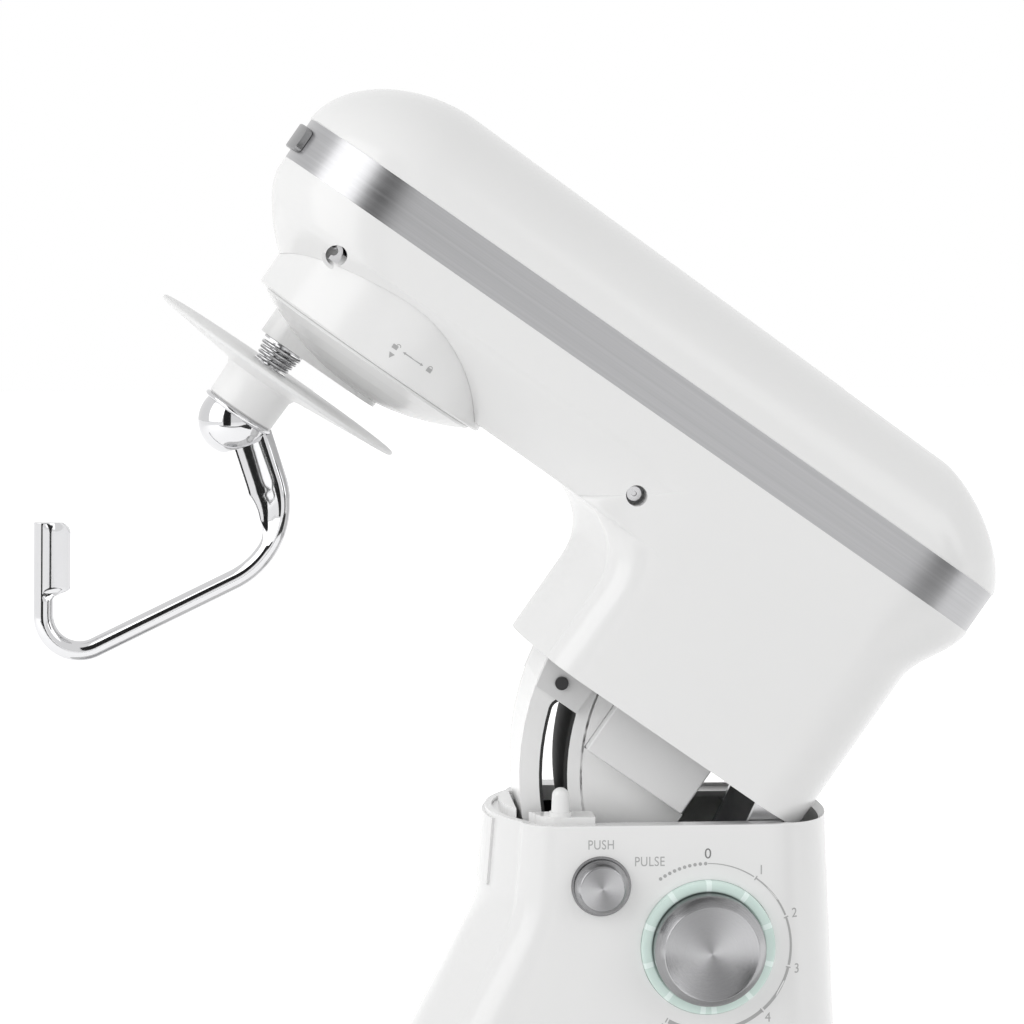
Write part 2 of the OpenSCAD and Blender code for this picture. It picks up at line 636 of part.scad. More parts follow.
module chassis() color("gainsboro") in_head() difference() {
    union() {
        translate([0, 0, skirt_top]) linear_extrude(4) {
            translate([hub_x - 58, -8]) square([60, 16]);
            translate([hub_x - 48, -46]) square([60 - hub_x, 92]);
        }
        // Seat for the carrier bearing
        translate([hub_x, 0, ring_z + gear_face + 1])
            cylinder(r = bearing_r + 4, h = pulley_z - 2 - ring_z - gear_face);
        translate([idler_x, 0, skirt_top]) cylinder(r = 10, h = 7);
        for (s = [-1, 1]) {
            // Lugs that turn on the hinge pin
            translate([0, s * (lug_y + lug_t / 2), 0]) slab(lug_t) {
                circle(r = pin_r + 6);
                translate([-12, 0]) square([22, skirt_top + 1]);
            }
            translate([motor_x, s * (stator_r - 4), bell_top]) cylinder(r = 3, h = skirt_top - bell_top);
            for (p = side_screw_spots)
                rod_y(p.x, p.y, 4, s > 0 ? 38 : -boss_end, s > 0 ? boss_end : -38);
            translate([side_screw_spots[1].x - 4, s > 0 ? 38 : -45, side_screw_spots[1].y])
                cube([8, 7, skirt_top - side_screw_spots[1].y + 1]);
        }
        for (x = post_spots) translate([x, 0, plate_top]) cylinder(r = 3.5, h = bridge_z - plate_top);
    }
    translate([hub_x, 0, ring_z + gear_face]) cylinder(r = bearing_r, h = 60);
    translate([idler_x, 0, skirt_top - 1]) cylinder(r = 5 + run_gap, h = 10);
    translate([motor_x, 0, skirt_top - 1]) cylinder(r = 6, h = 8);
    rod_y(0, 0, pin_r + run_gap, -neck_half, neck_half);
    for (p = side_screw_spots) rod_y(p.x, p.y, 2, -half_w, half_w);
}
bearing_r = 15;
post_spots = [hub_x - 54, idler_x + 46];

module gear_bridge() color("gainsboro") in_head() difference() {
    translate([post_spots[0] - 6, -12, bridge_z]) cube([post_spots[1] - post_spots[0] + 12, 24, 4]);
    translate([hub_x, 0, bridge_z - 1]) cylinder(r = carrier_r + run_gap, h = 6);
    translate([idler_x, 0, bridge_z - 1]) cylinder(r = 5 + run_gap, h = 6);
}
module shaft_bearings() color("silver") in_head() translate([hub_x, 0, pulley_z - 10])
    ring_z(bearing_r, carrier_r + run_gap, 9);

function inv(a) = tan(a) - a * PI / 180;
// Half angle of a tooth at radius r, for an involute tooth thinned by play
function tooth_half(r, teeth, mod, play) =
    let (r0 = teeth * mod / 2, rb = r0 * cos(pressure))
    90 / teeth - play / 2 / r0 * 180 / PI + (inv(pressure) - inv(acos(min(1, rb / r)))) * 180 / PI;
// Outline of a gear with involute flanks between its root and its tip
function gear_outline(teeth, mod, root, tip, play) =
    let (radii = [for (k = [0:3]) mix(root, tip, k / 3)],
         flank = [for (r = radii) [r, tooth_half(r, teeth, mod, play)]])
    [for (i = [0:teeth - 1]) let (a = 360 * i / teeth) each concat(
        [for (f = flank) f[0] * [cos(a - f[1]), sin(a - f[1])]],
        [for (f = reversed(flank)) f[0] * [cos(a + f[1]), sin(a + f[1])]])];
function spur(teeth, mod) =
    gear_outline(teeth, mod, mod * (teeth / 2 - 1.25), mod * (teeth / 2 + 1), gear_play);

module ring_gear() color("dimgray") in_head() translate([hub_x, 0, ring_z])
    linear_extrude(skirt_top - 3 - ring_z) difference() {
        circle(r = 50);
        polygon(gear_outline(ring_teeth, planet_mod, planet_mod * (ring_teeth / 2 - 1),
                             planet_mod * (ring_teeth / 2 + 1.25), -gear_play));
    }

module planet_carrier() color("lightgray") in_head() difference() {
    union() {
        translate([hub_x, 0, 0]) rotate_extrude() polygon(concat(
            [[0, rotor_top], [rotor_r, rotor_top], [rotor_r + 0.6, rotor_top - 2]],
            [for (r = [rotor_r, 48, 40, 30, 22, 14]) [r, rotor_z + 1 + 0.0051 * r * r]],
            [[0, rotor_z + 1]]));
        translate([0, 0, rotor_z]) linear_extrude(rotor_top - rotor_z) {
            translate([beater_x, 0]) circle(r = 12.5);
            translate([hub_x, 0]) circle(r = 14.6);
            polygon([[beater_x, -12.5], [hub_x, -14.6], [hub_x, 14.6], [beater_x, 12.5]]);
        }
    }
    translate([hub_x, 0, rotor_z + 5]) cylinder(r = carrier_r, h = 40);
    translate([beater_x, 0, rotor_z - 1]) cylinder(r = beater_r + run_gap, h = 40);
}
module carrier_shaft() color("silver") in_head() translate([hub_x, 0, rotor_z + 5])
    cylinder(r = carrier_r, h = shaft_end - rotor_z - 5);
module drive_gear() color("ivory") in_head() translate([hub_x, 0, gear_z]) difference() {
    union() {
        linear_extrude(gear_face) polygon(spur(drive_teeth, drive_mod));
        translate([0, 0, -3]) cylinder(r = 14, h = gear_face + 5);
    }
    translate([0, 0, -4]) cylinder(r = carrier_r, h = gear_face + 8);
    for (a = [0:60:300]) rotate([0, 0, a]) translate([28, 0, -1]) cylinder(r = 8, h = gear_face + 2);
}

module beater_shaft() color("silver") in_head() translate([beater_x, 0, 0]) {
    translate([0, 0, -3]) cylinder(r = beater_r, h = ring_z + gear_face + 4);
    translate([0, 0, rotor_top + 0.3]) cylinder(r = beater_r + 3, h = 2);
    translate([0, 0, rotor_z - 1.2]) cylinder(r = beater_r + 5, h = 0.9);
}
module planet_pinion() color("silver") in_head() translate([beater_x, 0, ring_z + 1]) difference() {
    linear_extrude(gear_face - 2) polygon(spur(planet_teeth, planet_mod));
    translate([0, 0, -1]) cylinder(r = beater_r, h = gear_face);
}
pin_z = 5;
wire_r = 0.85;
module cross_pin() color("silver") in_head() difference() {
    rod_y(beater_x, pin_z, 1.5, -8, 8);
    translate([beater_x, 0, pin_z - 5]) cylinder(r = beater_r, h = 10);
}
// Conical spring between the rotor and the hook's sleeve
module shaft_spring() color("silver") in_head() translate([beater_x, 0, 0]) {
    top = rotor_z - 2.2;
    low = guard_z + 1.4;
    turns = 3.5;
    steps = 56;
    loft([for (i = [0:steps])
        let (s = i / steps, a = 360 * turns * s, r = mix(9.2, 7.2, s), z = mix(top, low, s))
        [for (k = [0:5]) let (c = r + wire_r * cos(60 * k))
            [c * cos(a), -c * sin(a), z + wire_r * sin(60 * k)]]]);
}

sleeve_r = 8.5;
dome_z = hook_top - 4.4;
dome_r = 13.5;
module hook_hub() color("silver") in_head() translate([beater_x, 0, 0]) difference() {
    union() {
        translate([0, 0, hook_top]) cylinder(r = sleeve_r, h = guard_z + 0.4 - hook_top);
        translate([0, 0, hook_top - 2.4]) cylinder(r = 16, h = 2.4);
        // Dome with a flat where the hook's rod leaves it
        translate([0, 0, dome_z]) difference() {
            sphere(r = dome_r);
            rotate([0, hook_lean, 0]) translate([hook_start, -dome_r, -dome_r]) cube(2 * dome_r);
        }
    }
    translate([0, 0, -12]) cylinder(r = beater_r + run_gap, h = 40);
    // Slot for the cross pin
    translate([-1.8, -20, pin_z - 1.8 - hook_travel]) cube([3.6, 40, hook_travel + 3.6]);
    translate([0, 0, hook_top]) ring_z(30, sleeve_r, 40);
}
module guard_disc() color("silver") in_head() difference() {
    union() {
        translate([beater_x + guard_shift, 0, 0]) rotate_extrude() polygon([
            [0, guard_z], [guard_r - 1, guard_z], [guard_r, guard_z - 1], [guard_r - 1, guard_z - 2],
            [16, guard_z - 8], [0, guard_z - 8]]);
        translate([beater_x, 0, hook_top]) cylinder(r1 = 14.8, r2 = 16, h = guard_z - 8 - hook_top);
    }
    translate([beater_x, 0, hook_top - 1]) cylinder(r = sleeve_r, h = 40);
}

// Arc of n steps that rounds the corner b between a and c with radius r
function rounded(a, b, c, r, n) =
    let (u = (a - b) / norm(a - b), v = (c - b) / norm(c - b),
         half = acos(u * v) / 2, w = (u + v) / norm(u + v), m = b + w * r / sin(half),
         s = m - b, p = b + u * r / tan(half), q = b + v * r / tan(half),
         a0 = atan2(p.y - m.y, p.x - m.x), a1 = atan2(q.y - m.y, q.x - m.x),
         d = ((a1 - a0 + 540) % 360) - 180)
    [for (i = [0:n]) m + r * [cos(a0 + d * i / n), sin(a0 + d * i / n)]];

// Corners of the hook's line, from the dome's middle to the tip
hook_line = [[0, dome_z], [59, -56], [-4, -hook_drop], [-41.5, -98]];
hook_lean = atan2(dome_z - hook_line[1].y, hook_line[1].x);
hook_start = 7.5;
hook_path = concat(
    [hook_line[0] + hook_start * [cos(hook_lean), -sin(hook_lean)],
     mix(hook_line[0], hook_line[1], 0.42), mix(hook_line[0], hook_line[1], 0.66)],
    rounded(hook_line[0], hook_line[1], hook_line[2], 12, 6),
    [mix(hook_line[1], hook_line[2], 0.5)],
    rounded(hook_line[1], hook_line[2], hook_line[3], 22, 8),
    [mix(hook_line[2], hook_line[3], 0.62), mix(hook_line[2], hook_line[3], 0.8), hook_line[3]]
);
// Half width of the rod in the hook's plane, wide where it leaves the dome and at the flat tip
function hook_width(i) = lookup(i, [[0, 8], [2, 8], [4, 5.4], [6, hook_rod / 2], [22, hook_rod / 2]]);
function hook_depth(i) = lookup(i, [[0, 3.2], [3, 3.2], [7, hook_rod / 2], [22, hook_rod / 2]]);
module dough_hook() color("silver") in_head() translate([beater_x, 0, 0]) {
    n = len(hook_path);
    loft([for (i = [0:n - 1])
        let (p = hook_path[i],
             t = hook_path[min(n - 1, i + 1)] - hook_path[max(0, i - 1)],
             u = [t.y, -t.x] / norm(t))
        [for (k = [0:11]) let (c = hook_width(i) * cos(30 * k), d = hook_depth(i) * sin(30 * k))
            [p.x + u.x * c, d, p.y + u.y * c]]]);
}

module idler_gear() color("silver") in_head() translate([idler_x, 0, 0]) {
    translate([0, 0, skirt_top + 1]) cylinder(r = 5, h = shaft_end - skirt_top - 1);
    translate([0, 0, gear_z - 1]) rotate([0, 0, 180 / idler_teeth])
        linear_extrude(gear_face + 2) polygon(spur(idler_teeth, drive_mod));
}
module idler_pulley() color("dimgray") in_head() translate([idler_x, 0, pulley_z]) difference() {
    rotate_extrude() polygon([
        [5, 0], [pulley_r + 2.5, 0], [pulley_r + 2.5, 1], [pulley_r, 1.6], [pulley_r, pulley_h - 1.6],
        [pulley_r + 2.5, pulley_h - 1], [pulley_r + 2.5, pulley_h], [5, pulley_h]]);
    for (a = [0:60:300]) rotate([0, 0, a]) translate([22, 0, -1]) cylinder(r = 7, h = pulley_h + 2);
}
module motor_pulley() color("silver") in_head() translate([motor_x, 0, pulley_z]) rotate_extrude() polygon([
    [4, 0], [motor_pulley_r + 2.5, 0], [motor_pulley_r + 2.5, 1], [motor_pulley_r, 1.6],
    [motor_pulley_r, pulley_h - 1.6], [motor_pulley_r + 2.5, pulley_h - 1],
    [motor_pulley_r + 2.5, pulley_h], [4, pulley_h]]);

// Loop of belt round both pulleys at a distance t from their grooves
module belt_loop(t) {
    touch = acos((pulley_r - motor_pulley_r) / (motor_x - idler_x));
    polygon(concat(
        [for (i = [0:32]) let (a = mix(touch, 360 - touch, i / 32))
            [idler_x + (pulley_r + t) * cos(a), (pulley_r + t) * sin(a)]],
        [for (i = [0:16]) let (a = mix(-touch, touch, i / 16))
            [motor_x + (motor_pulley_r + t) * cos(a), (motor_pulley_r + t) * sin(a)]]));
}
module drive_belt() color("black") in_head() translate([0, 0, pulley_z + 2.4])
    linear_extrude(pulley_h - 4.8) difference() {
        belt_loop(2);
        belt_loop(0.4);
    }

// ---- Motor ----

module motor_stator() color("dimgray") in_head() translate([motor_x, 0, stator_z])
    ring_z(stator_r, armature_r + 0.5, stator_h);
module motor_end_bells() color("silver") in_head() translate([motor_x, 0, 0]) {
    difference() {
        translate([0, 0, stator_z + stator_h]) cylinder(r = stator_r, h = 20);
        translate([0, 0, stator_z + stator_h - 1]) cylinder(r = stator_r - 4, h = 17);
        translate([0, 0, stator_z]) cylinder(r = 4 + run_gap, h = 90);
    }
    difference() {
        translate([0, 0, stator_z - 26]) cylinder(r = 20.5, h = 26);
        translate([0, 0, stator_z - 22]) cylinder(r = 18, h = 30);
        translate([0, 0, stator_z - 24]) cylinder(r = 4 + run_gap, h = 30);
    }
}
module motor_brushes() color("dimgray") in_head() for (s = [-1, 1])
    translate([motor_x + s * 13.9, 0, stator_z - 11]) cube([7.2, 6, 6], center = true);
module armature() color("sienna") in_head() translate([motor_x, 0, 0]) {
    translate([0, 0, stator_z - 23]) cylinder(r = 4, h = pulley_z + pulley_h + 2 - stator_z + 23);
    translate([0, 0, stator_z + 3]) cylinder(r = armature_r, h = stator_h - 6);
    translate([0, 0, stator_z - 18]) cylinder(r = 10, h = 14);
}
module motor_fan() color("black") in_head() translate([motor_x, 0, bell_top + 2]) difference() {
    union() {
        cylinder(r = 8, h = 10);
        cylinder(r = 26, h = 1.6);
        for (a = [0:30:330]) rotate([0, 0, a]) translate([7, -0.8, 0]) cube([19, 1.6, 9]);
    }
    translate([0, 0, -1]) cylinder(r = 4, h = 20);
}
module motor_shroud() color("whitesmoke") in_head() difference() {
    box([motor_x - shroud_l / 2, -shroud_w, -split_drop - shroud_d],
        [motor_x + shroud_l / 2, shroud_w, -split_drop]);
    box([motor_x - shroud_l / 2 + 2, -shroud_w + 2, -split_drop - shroud_d + 2],
        [motor_x + shroud_l / 2 - 2, shroud_w - 2, -split_drop + 1]);
}

// ---- Tilt arm ----

// Arc of radius r between angles a and b below the line from the hinge to the nose
function arm_arc(r, a, b) = [for (i = [0:12]) let (t = mix(a, b, i / 12)) r * [-cos(t), -sin(t)]];
// Half round of radius r at the slot's end at angle a, turning on to angle a + 180 * way
function slot_end(r, a, way) = [
    for (i = [1:11]) let (t = a + way * 15 * i) slot_r * [-cos(a), -sin(a)] + r * [-cos(t), -sin(t)]];
slot_from = latch_angle - 0.5;
slot_to = latch_angle + open_angle + 1.5;
module slot_shape(w) polygon(concat(
    arm_arc(slot_r + w / 2, slot_from, slot_to), slot_end(w / 2, slot_to, 1),
    arm_arc(slot_r - w / 2, slot_to, slot_from), reversed(slot_end(w / 2, slot_from, -1))));
module tilt_arm() color("white") in_head() slab(2 * arm_w) difference() {
    polygon(concat(arm_arc(arm_r, 4, slot_to + 7), arm_arc(arm_inner_r, slot_to + 7, 4)));
    slot_shape(slot_w);
}
module slot_liner() color("black") in_head() slab(2 * arm_w) difference() {
    slot_shape(slot_w);
    slot_shape(slot_w - 2 * liner_t);
}
screw_spot = [-107.3, -23.5];
step_z = -31;
module arm_bracket() color("gainsboro") in_head() for (s = [-1, 1]) difference() {
    translate([0, s * (arm_w + 1.75), 0]) slab(3.5)
        polygon([[-arm_r * cos(asin(step_z / arm_r)), step_z], [-94, step_z], [-94, -2], [-98, skirt_top],
                 [-115, skirt_top], [-115, 0], [-arm_r * cos(8), -arm_r * sin(8)]]);
    rod_y(screw_spot.x, screw_spot.y, 3, -50, 50);
}
module arm_screws() color("black") in_head() for (s = [-1, 1])
    rod_y(screw_spot.x, screw_spot.y, 3, s > 0 ? arm_w : -arm_w - 5, s > 0 ? arm_w + 5 : -arm_w);

// ---- Assembly ----

base_casting();
base_cover();
feet();
base_screws();
bowl_seat();
cord_inlet();
column_tray();
front_trim();
guide_post();
hinge_bracket();
hinge_pin();
latch_guides();
dial_light_ring();
push_bezel();
speed_switch();
control_board();
speed_dial();
dial_shaft();
push_button();
latch_bar();
head_lower_housing();
head_top_cover();
trim_band();
badge_plate();
hub_skirt();
side_screws();
chassis();
gear_bridge();
shaft_bearings();
ring_gear();
drive_belt();
motor_stator();
motor_end_bells();
motor_brushes();
motor_shroud();
tilt_arm();
slot_liner();
arm_bracket();
arm_screws();
planet_carrier();
carrier_shaft();
drive_gear();
beater_shaft();
planet_pinion();
cross_pin();
shaft_spring();
hook_hub();
guard_disc();
dough_hook();
idler_gear();
idler_pulley();
armature();
motor_fan();
motor_pulley();
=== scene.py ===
# %% [markdown]
# # A tilt-head stand mixer, dressed around its engineering model
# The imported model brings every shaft, gear and screw at its real place. This notebook gives the
# mixer its looks: the moulded white shells, the brushed band, the polished hook, the speed dial
# and the print round it. Everything is in metres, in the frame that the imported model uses.

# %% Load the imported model
import json
import math

import bmesh
import bpy
import numpy as np
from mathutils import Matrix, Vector


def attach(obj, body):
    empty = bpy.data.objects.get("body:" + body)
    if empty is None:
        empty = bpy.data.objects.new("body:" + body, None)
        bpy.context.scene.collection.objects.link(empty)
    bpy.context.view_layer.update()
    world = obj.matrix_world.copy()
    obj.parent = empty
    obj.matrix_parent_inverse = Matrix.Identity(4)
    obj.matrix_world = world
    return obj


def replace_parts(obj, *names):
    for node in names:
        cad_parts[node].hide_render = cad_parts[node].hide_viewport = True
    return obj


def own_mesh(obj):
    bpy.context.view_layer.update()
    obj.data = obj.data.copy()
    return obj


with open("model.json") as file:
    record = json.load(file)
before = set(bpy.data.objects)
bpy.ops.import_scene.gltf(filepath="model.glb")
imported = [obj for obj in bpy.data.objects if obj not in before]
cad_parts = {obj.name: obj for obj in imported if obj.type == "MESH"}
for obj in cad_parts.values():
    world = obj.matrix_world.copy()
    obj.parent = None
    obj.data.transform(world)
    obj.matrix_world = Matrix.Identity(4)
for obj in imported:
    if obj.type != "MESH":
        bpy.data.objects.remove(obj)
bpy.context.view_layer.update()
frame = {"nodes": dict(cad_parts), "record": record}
joints = {joint["name"]: joint for joint in frame["record"]["behaviour"]["joints"]}

# %% [markdown]
# ## Two drawing boards
# The head is drawn closed and level, in millimetres from the hinge, and then tilted up. The stand
# is drawn in millimetres from the hinge too, but stays level. The hinge and the tilt are read from
# the joints, so that the shells always meet the shafts they cover.

# %% Hinge and tilt
MM = 0.001
hinge = np.array(joints["head_tilt"]["pos_m"])
hub_axis = np.array(joints["planet_spin"]["axis"])
tilt = math.atan2(hub_axis[0], hub_axis[2])


def at_hinge(points):
    """Millimetres from the hinge, with level axes, become metres in the frame."""
    return np.asarray(points, float) * MM + hinge


def in_head(points):
    """Millimetres from the hinge with the head closed: turned up by the tilt, then moved."""
    p = np.asarray(points, float)
    x = p[..., 0] * math.cos(tilt) + p[..., 2] * math.sin(tilt)
    z = -p[..., 0] * math.sin(tilt) + p[..., 2] * math.cos(tilt)
    return at_hinge(np.stack([x, p[..., 1], z], -1))


def closed_frame(point):
    """The closed-head place, in millimetres from the hinge, of a point in the frame."""
    d = (np.array(point) - hinge) / MM
    return np.array([d[0] * math.cos(tilt) - d[2] * math.sin(tilt), d[1],
                     d[0] * math.sin(tilt) + d[2] * math.cos(tilt)])


hub = closed_frame(joints["planet_spin"]["pos_m"])
beater = closed_frame(joints["spindle_spin"]["pos_m"])
print(f"hinge {hinge.round(4)}, tilt {math.degrees(tilt):.1f} degrees, hub at {hub[0]:.1f} mm")

# %% [markdown]
# ## Surfaces from rings
# Each moulded shell is a stack of rings with the same number of points. Neighbouring rings are
# joined by four-sided faces, which numpy works out for the whole stack at once. Where a ring
# shrinks to a line or a point, merging the doubled corners closes the surface.

# %% Mesh helpers
SMOOTH_ANGLE = math.radians(34)


def ring_faces(count, size, around=True, along=False):
    """Four-sided faces between `count` rings of `size` points, closed around and along if asked."""
    i = np.arange(count if along else count - 1)[:, None]
    j = np.arange(size if around else size - 1)[None, :]
    i2, j2 = (i + 1) % count, (j + 1) % size
    corners = [i * size + j, i * size + j2, i2 * size + j2, i2 * size + j]
    return np.stack([c + 0 * (i + j) for c in corners], -1).reshape(-1, 4)


def make_mesh(name, points, faces, sharp=SMOOTH_ANGLE):
    """A mesh object from an array of points and a list of faces: doubles merged, faces outward."""
    mesh = bpy.data.meshes.new(name)
    mesh.from_pydata(np.asarray(points).reshape(-1, 3).tolist(), [], [list(f) for f in faces])
    work = bmesh.new()
    work.from_mesh(mesh)
    bmesh.ops.remove_doubles(work, verts=work.verts, dist=2e-6)
    bmesh.ops.dissolve_degenerate(work, edges=work.edges, dist=1e-6)
    bmesh.ops.recalc_face_normals(work, faces=work.faces)
    work.to_mesh(mesh)
    work.free()
    mesh.shade_smooth()
    mesh.set_sharp_from_angle(angle=sharp)
    piece = bpy.data.objects.new(name, mesh)
    bpy.context.scene.collection.objects.link(piece)
    return piece


def stacked(name, rings, along=False, caps=False, sharp=SMOOTH_ANGLE):
    """A skin through rings, each an array of points; `caps` closes the first and last ring."""
    rings = np.asarray(rings)
    count, size = rings.shape[:2]
    faces = ring_faces(count, size, along=along).tolist()
    if caps:
        faces.append(list(range(size))[::-1])
        faces.append([(count - 1) * size + k for k in range(size)])
    return make_mesh(name, rings, faces, sharp)


def turned(name, profile, place, steps=96, sharp=SMOOTH_ANGLE):
    """A turned piece: the profile (radius, height) is carried round the height axis.

    A point at angle a is (radius cos a, radius sin a, height), put in place by `place`.
    """
    profile = np.asarray(profile, float)
    a = np.linspace(0, 2 * np.pi, steps, endpoint=False)[None, :]
    r, h = profile[:, :1], profile[:, 1:]
    rings = np.stack([r * np.cos(a), r * np.sin(a), h + 0 * a], -1)
    return stacked(name, place(rings), sharp=sharp)


def cut(piece, *cutters):
    """Takes the cutters' volumes out of a piece, and then throws the cutters away."""
    for cutter in cutters:
        modifier = piece.modifiers.new("cut", "BOOLEAN")
        modifier.object = cutter
        modifier.operation = "DIFFERENCE"
        modifier.solver = "EXACT"
    depsgraph = bpy.context.evaluated_depsgraph_get()
    result = bpy.data.meshes.new_from_object(piece.evaluated_get(depsgraph))
    piece.modifiers.clear()
    piece.data = result
    piece.data.set_sharp_from_angle(angle=SMOOTH_ANGLE)
    for cutter in cutters:
        bpy.data.objects.remove(cutter)
    return piece


def soften(piece, width, angle=40):
    """A small rounded edge wherever two faces meet at more than the angle."""
    bevel = piece.modifiers.new("soft edge", "BEVEL")
    bevel.width = width * MM
    bevel.segments = 2
    bevel.limit_method = "ANGLE"
    bevel.angle_limit = math.radians(angle)
    bevel.harden_normals = True
    return piece


# %% [markdown]
# ## Shader expressions
# A material reads best as arithmetic. This class wraps a node's output, and each operator adds
# the Math node that works it out, so `0.3 + 0.1 * noise` is a whole chain of nodes.

# %% A socket that can be reckoned with
class Value:
    """One output of a node, with operators that add Math nodes."""

    def __init__(self, tree, socket):
        self.tree, self.socket = tree, socket

    def math(self, operation, *others):
        """Adds one Math node, fed by this value and then the others."""
        node = self.tree.nodes.new("ShaderNodeMath")
        node.operation = operation
        for slot, item in zip(node.inputs, (self,) + others):
            if isinstance(item, Value):
                self.tree.links.new(item.socket, slot)
            else:
                slot.default_value = item
        return Value(self.tree, node.outputs[0])

    def __add__(self, other):
        return self.math("ADD", other)

    def __mul__(self, other):
        return self.math("MULTIPLY", other)

    def __sub__(self, other):
        return self.math("SUBTRACT", other)

    def __rsub__(self, other):
        return Value.from_number(self.tree, other) - self

    def __lt__(self, other):
        return self.math("LESS_THAN", other)

    __radd__ = __add__
    __rmul__ = __mul__

    @staticmethod
    def from_number(tree, number):
        node = tree.nodes.new("ShaderNodeValue")
        node.outputs[0].default_value = number
        return Value(tree, node.outputs[0])

    def between(self, low, high):
        """Runs from 0 at low to 1 at high, and stays there outside."""
        share = (self - low).math("DIVIDE", high - low)
        return share.math("MAXIMUM", 0.0).math("MINIMUM", 1.0)


class Finish:
    """A material with one Principled shader, and short ways to add nodes to it."""

    def __init__(self, name, **sockets):
        self.material = bpy.data.materials.new(name)
        self.material.use_nodes = True
        self.tree = self.material.node_tree
        self.shader = self.tree.nodes["Principled BSDF"]
        for socket, value in sockets.items():
            self.set(socket.replace("_", " "), value)

    def set(self, socket, value):
        """Gives a socket of the shader a number, a colour or a link."""
        slot = self.shader.inputs[socket]
        if isinstance(value, Value):
            self.tree.links.new(value.socket, slot)
        else:
            slot.default_value = (*value, 1.0) if isinstance(value, tuple) and len(value) == 3 else value
        return self

    def node(self, kind, settings=(), output=0, **sockets):
        """Any other node: its settings come first, then the values or links of its sockets."""
        node = self.tree.nodes.new("ShaderNode" + kind)
        for key, value in dict(settings).items():
            if key == "stops":
                while len(node.color_ramp.elements) < len(value):
                    node.color_ramp.elements.new(0.5)
                for element, (place, colour) in zip(node.color_ramp.elements, value):
                    element.position, element.color = place, (*colour, 1.0)
            else:
                setattr(node, key, value)
        for key, value in sockets.items():
            slot = node.inputs[key.replace("_", " ")]
            if isinstance(value, Value):
                self.tree.links.new(value.socket, slot)
            else:
                is_colour = isinstance(value, tuple) and slot.type == "RGBA"
                slot.default_value = (*value, 1.0) if is_colour else value
        return Value(self.tree, node.outputs[output])

    def coordinates(self, cell=(1, 1, 1), turn=(0, 0, 0), at=(0, 0, 0)):
        """Object coordinates from a turned frame at a place, in cells of a size along each axis."""
        place = self.node("TexCoord", output=3)
        return self.node("Mapping", {"vector_type": "TEXTURE"}, Vector=place, Location=at,
                         Rotation=turn, Scale=cell)

    def noise(self, scale, detail=2.0, roughness=0.5, **where):
        """A soft random pattern, fixed to the object's own coordinates."""
        return self.node("TexNoise", Vector=self.coordinates(**where), Scale=scale, Detail=detail,
                         Roughness=roughness)

    def blend(self, mask, low, high):
        """A colour that goes from low to high as the mask goes from 0 to 1."""
        mixer = self.node("Mix", {"data_type": "RGBA"}, output=2)
        node = mixer.socket.node
        for slot, item in zip((node.inputs[0], node.inputs[6], node.inputs[7]), (mask, low, high)):
            if isinstance(item, Value):
                self.tree.links.new(item.socket, slot)
            else:
                slot.default_value = (*item, 1.0) if isinstance(item, tuple) else item
        return mixer

    def bump(self, height, strength=0.3, distance=0.0002):
        """Lets a height, in metres, tilt the shading without moving the surface."""
        self.set("Normal", self.node("Bump", Height=height, Strength=strength, Distance=distance))
        return self


def wear(piece, finish):
    """Puts a finish on a piece, or on a carried-over node of that name."""
    target = frame["nodes"][piece] if isinstance(piece, str) else piece
    target.data.materials.clear()
    target.data.materials.append(finish.material)
    return target


# %% [markdown]
# ## Moulded plastic
# The shells are white moulded plastic with a soft gloss. Real mouldings are never quite even: the
# gloss drifts where the melt cooled, and a fine haze of handling breaks the highlights. Two noises
# at different sizes drive the roughness, and the finest one lifts the surface by a hair.

# %% Plastics and rubber
def moulded(name, colour, gloss=0.28, haze=0.08, tint=0.02):
    """Moulded plastic: `gloss` is its roughness, `haze` how far that drifts, `tint` the colour's."""
    finish = Finish(name, IOR=1.48)
    cloud = finish.noise(14.0, 3.0)
    grain = finish.noise(420.0, 2.0)
    shade = tuple(c * (1 - tint) for c in colour)
    finish.set("Base Color", finish.blend(cloud, shade, colour))
    finish.set("Roughness", gloss + haze * (cloud - 0.5) + 0.03 * (grain - 0.5))
    return finish.bump(cloud, 0.05, 0.0001)


white = moulded("white moulding", (0.83, 0.83, 0.827), gloss=0.22)
guard_white = moulded("guard moulding", (0.82, 0.82, 0.818), gloss=0.36)
cover_grey = moulded("cover moulding", (0.79, 0.79, 0.79), gloss=0.3)
# Painted shade: the arm bracket's white moulding is made a darker grey for the shade it sits in.
painted_shade_grey = moulded("bracket white with painted shade", (0.70, 0.70, 0.70), gloss=0.3)
black = moulded("black moulding", (0.012, 0.012, 0.013), gloss=0.3, tint=0.3)
rubber = moulded("black rubber", (0.02, 0.02, 0.02), gloss=0.7, haze=0.15, tint=0.3)
nylon = moulded("ivory nylon", (0.70, 0.68, 0.58), gloss=0.45)
board_green = moulded("lacquered board", (0.03, 0.22, 0.08), gloss=0.3, tint=0.2)

# %% [markdown]
# ## Metals
# Polished metal keeps faint swirls from the buffing wheel. The band is brushed along its length,
# so its noise is stretched a hundredfold in that direction. Turned metal shows rings round the
# axis it was turned on, which a noise stretched across the radius gives. The turned caps also get
# a painted highlight: their colour brightens and darkens twice round the axis.

# %% Metals
def metal(name, colour, rough=0.12, swirl=0.05, cell=40.0, lift=0.06):
    """Polished or cast metal: `swirl` is how far the roughness drifts from spot to spot."""
    finish = Finish(name, Metallic=1.0)
    cloud = finish.noise(cell, 4.0, 0.6)
    finish.set("Base Color", finish.blend(cloud, tuple(c * 0.92 for c in colour), colour))
    finish.set("Roughness", rough + swirl * (cloud - 0.5))
    return finish.bump(finish.noise(cell * 12, 2.0), lift, 0.00003)


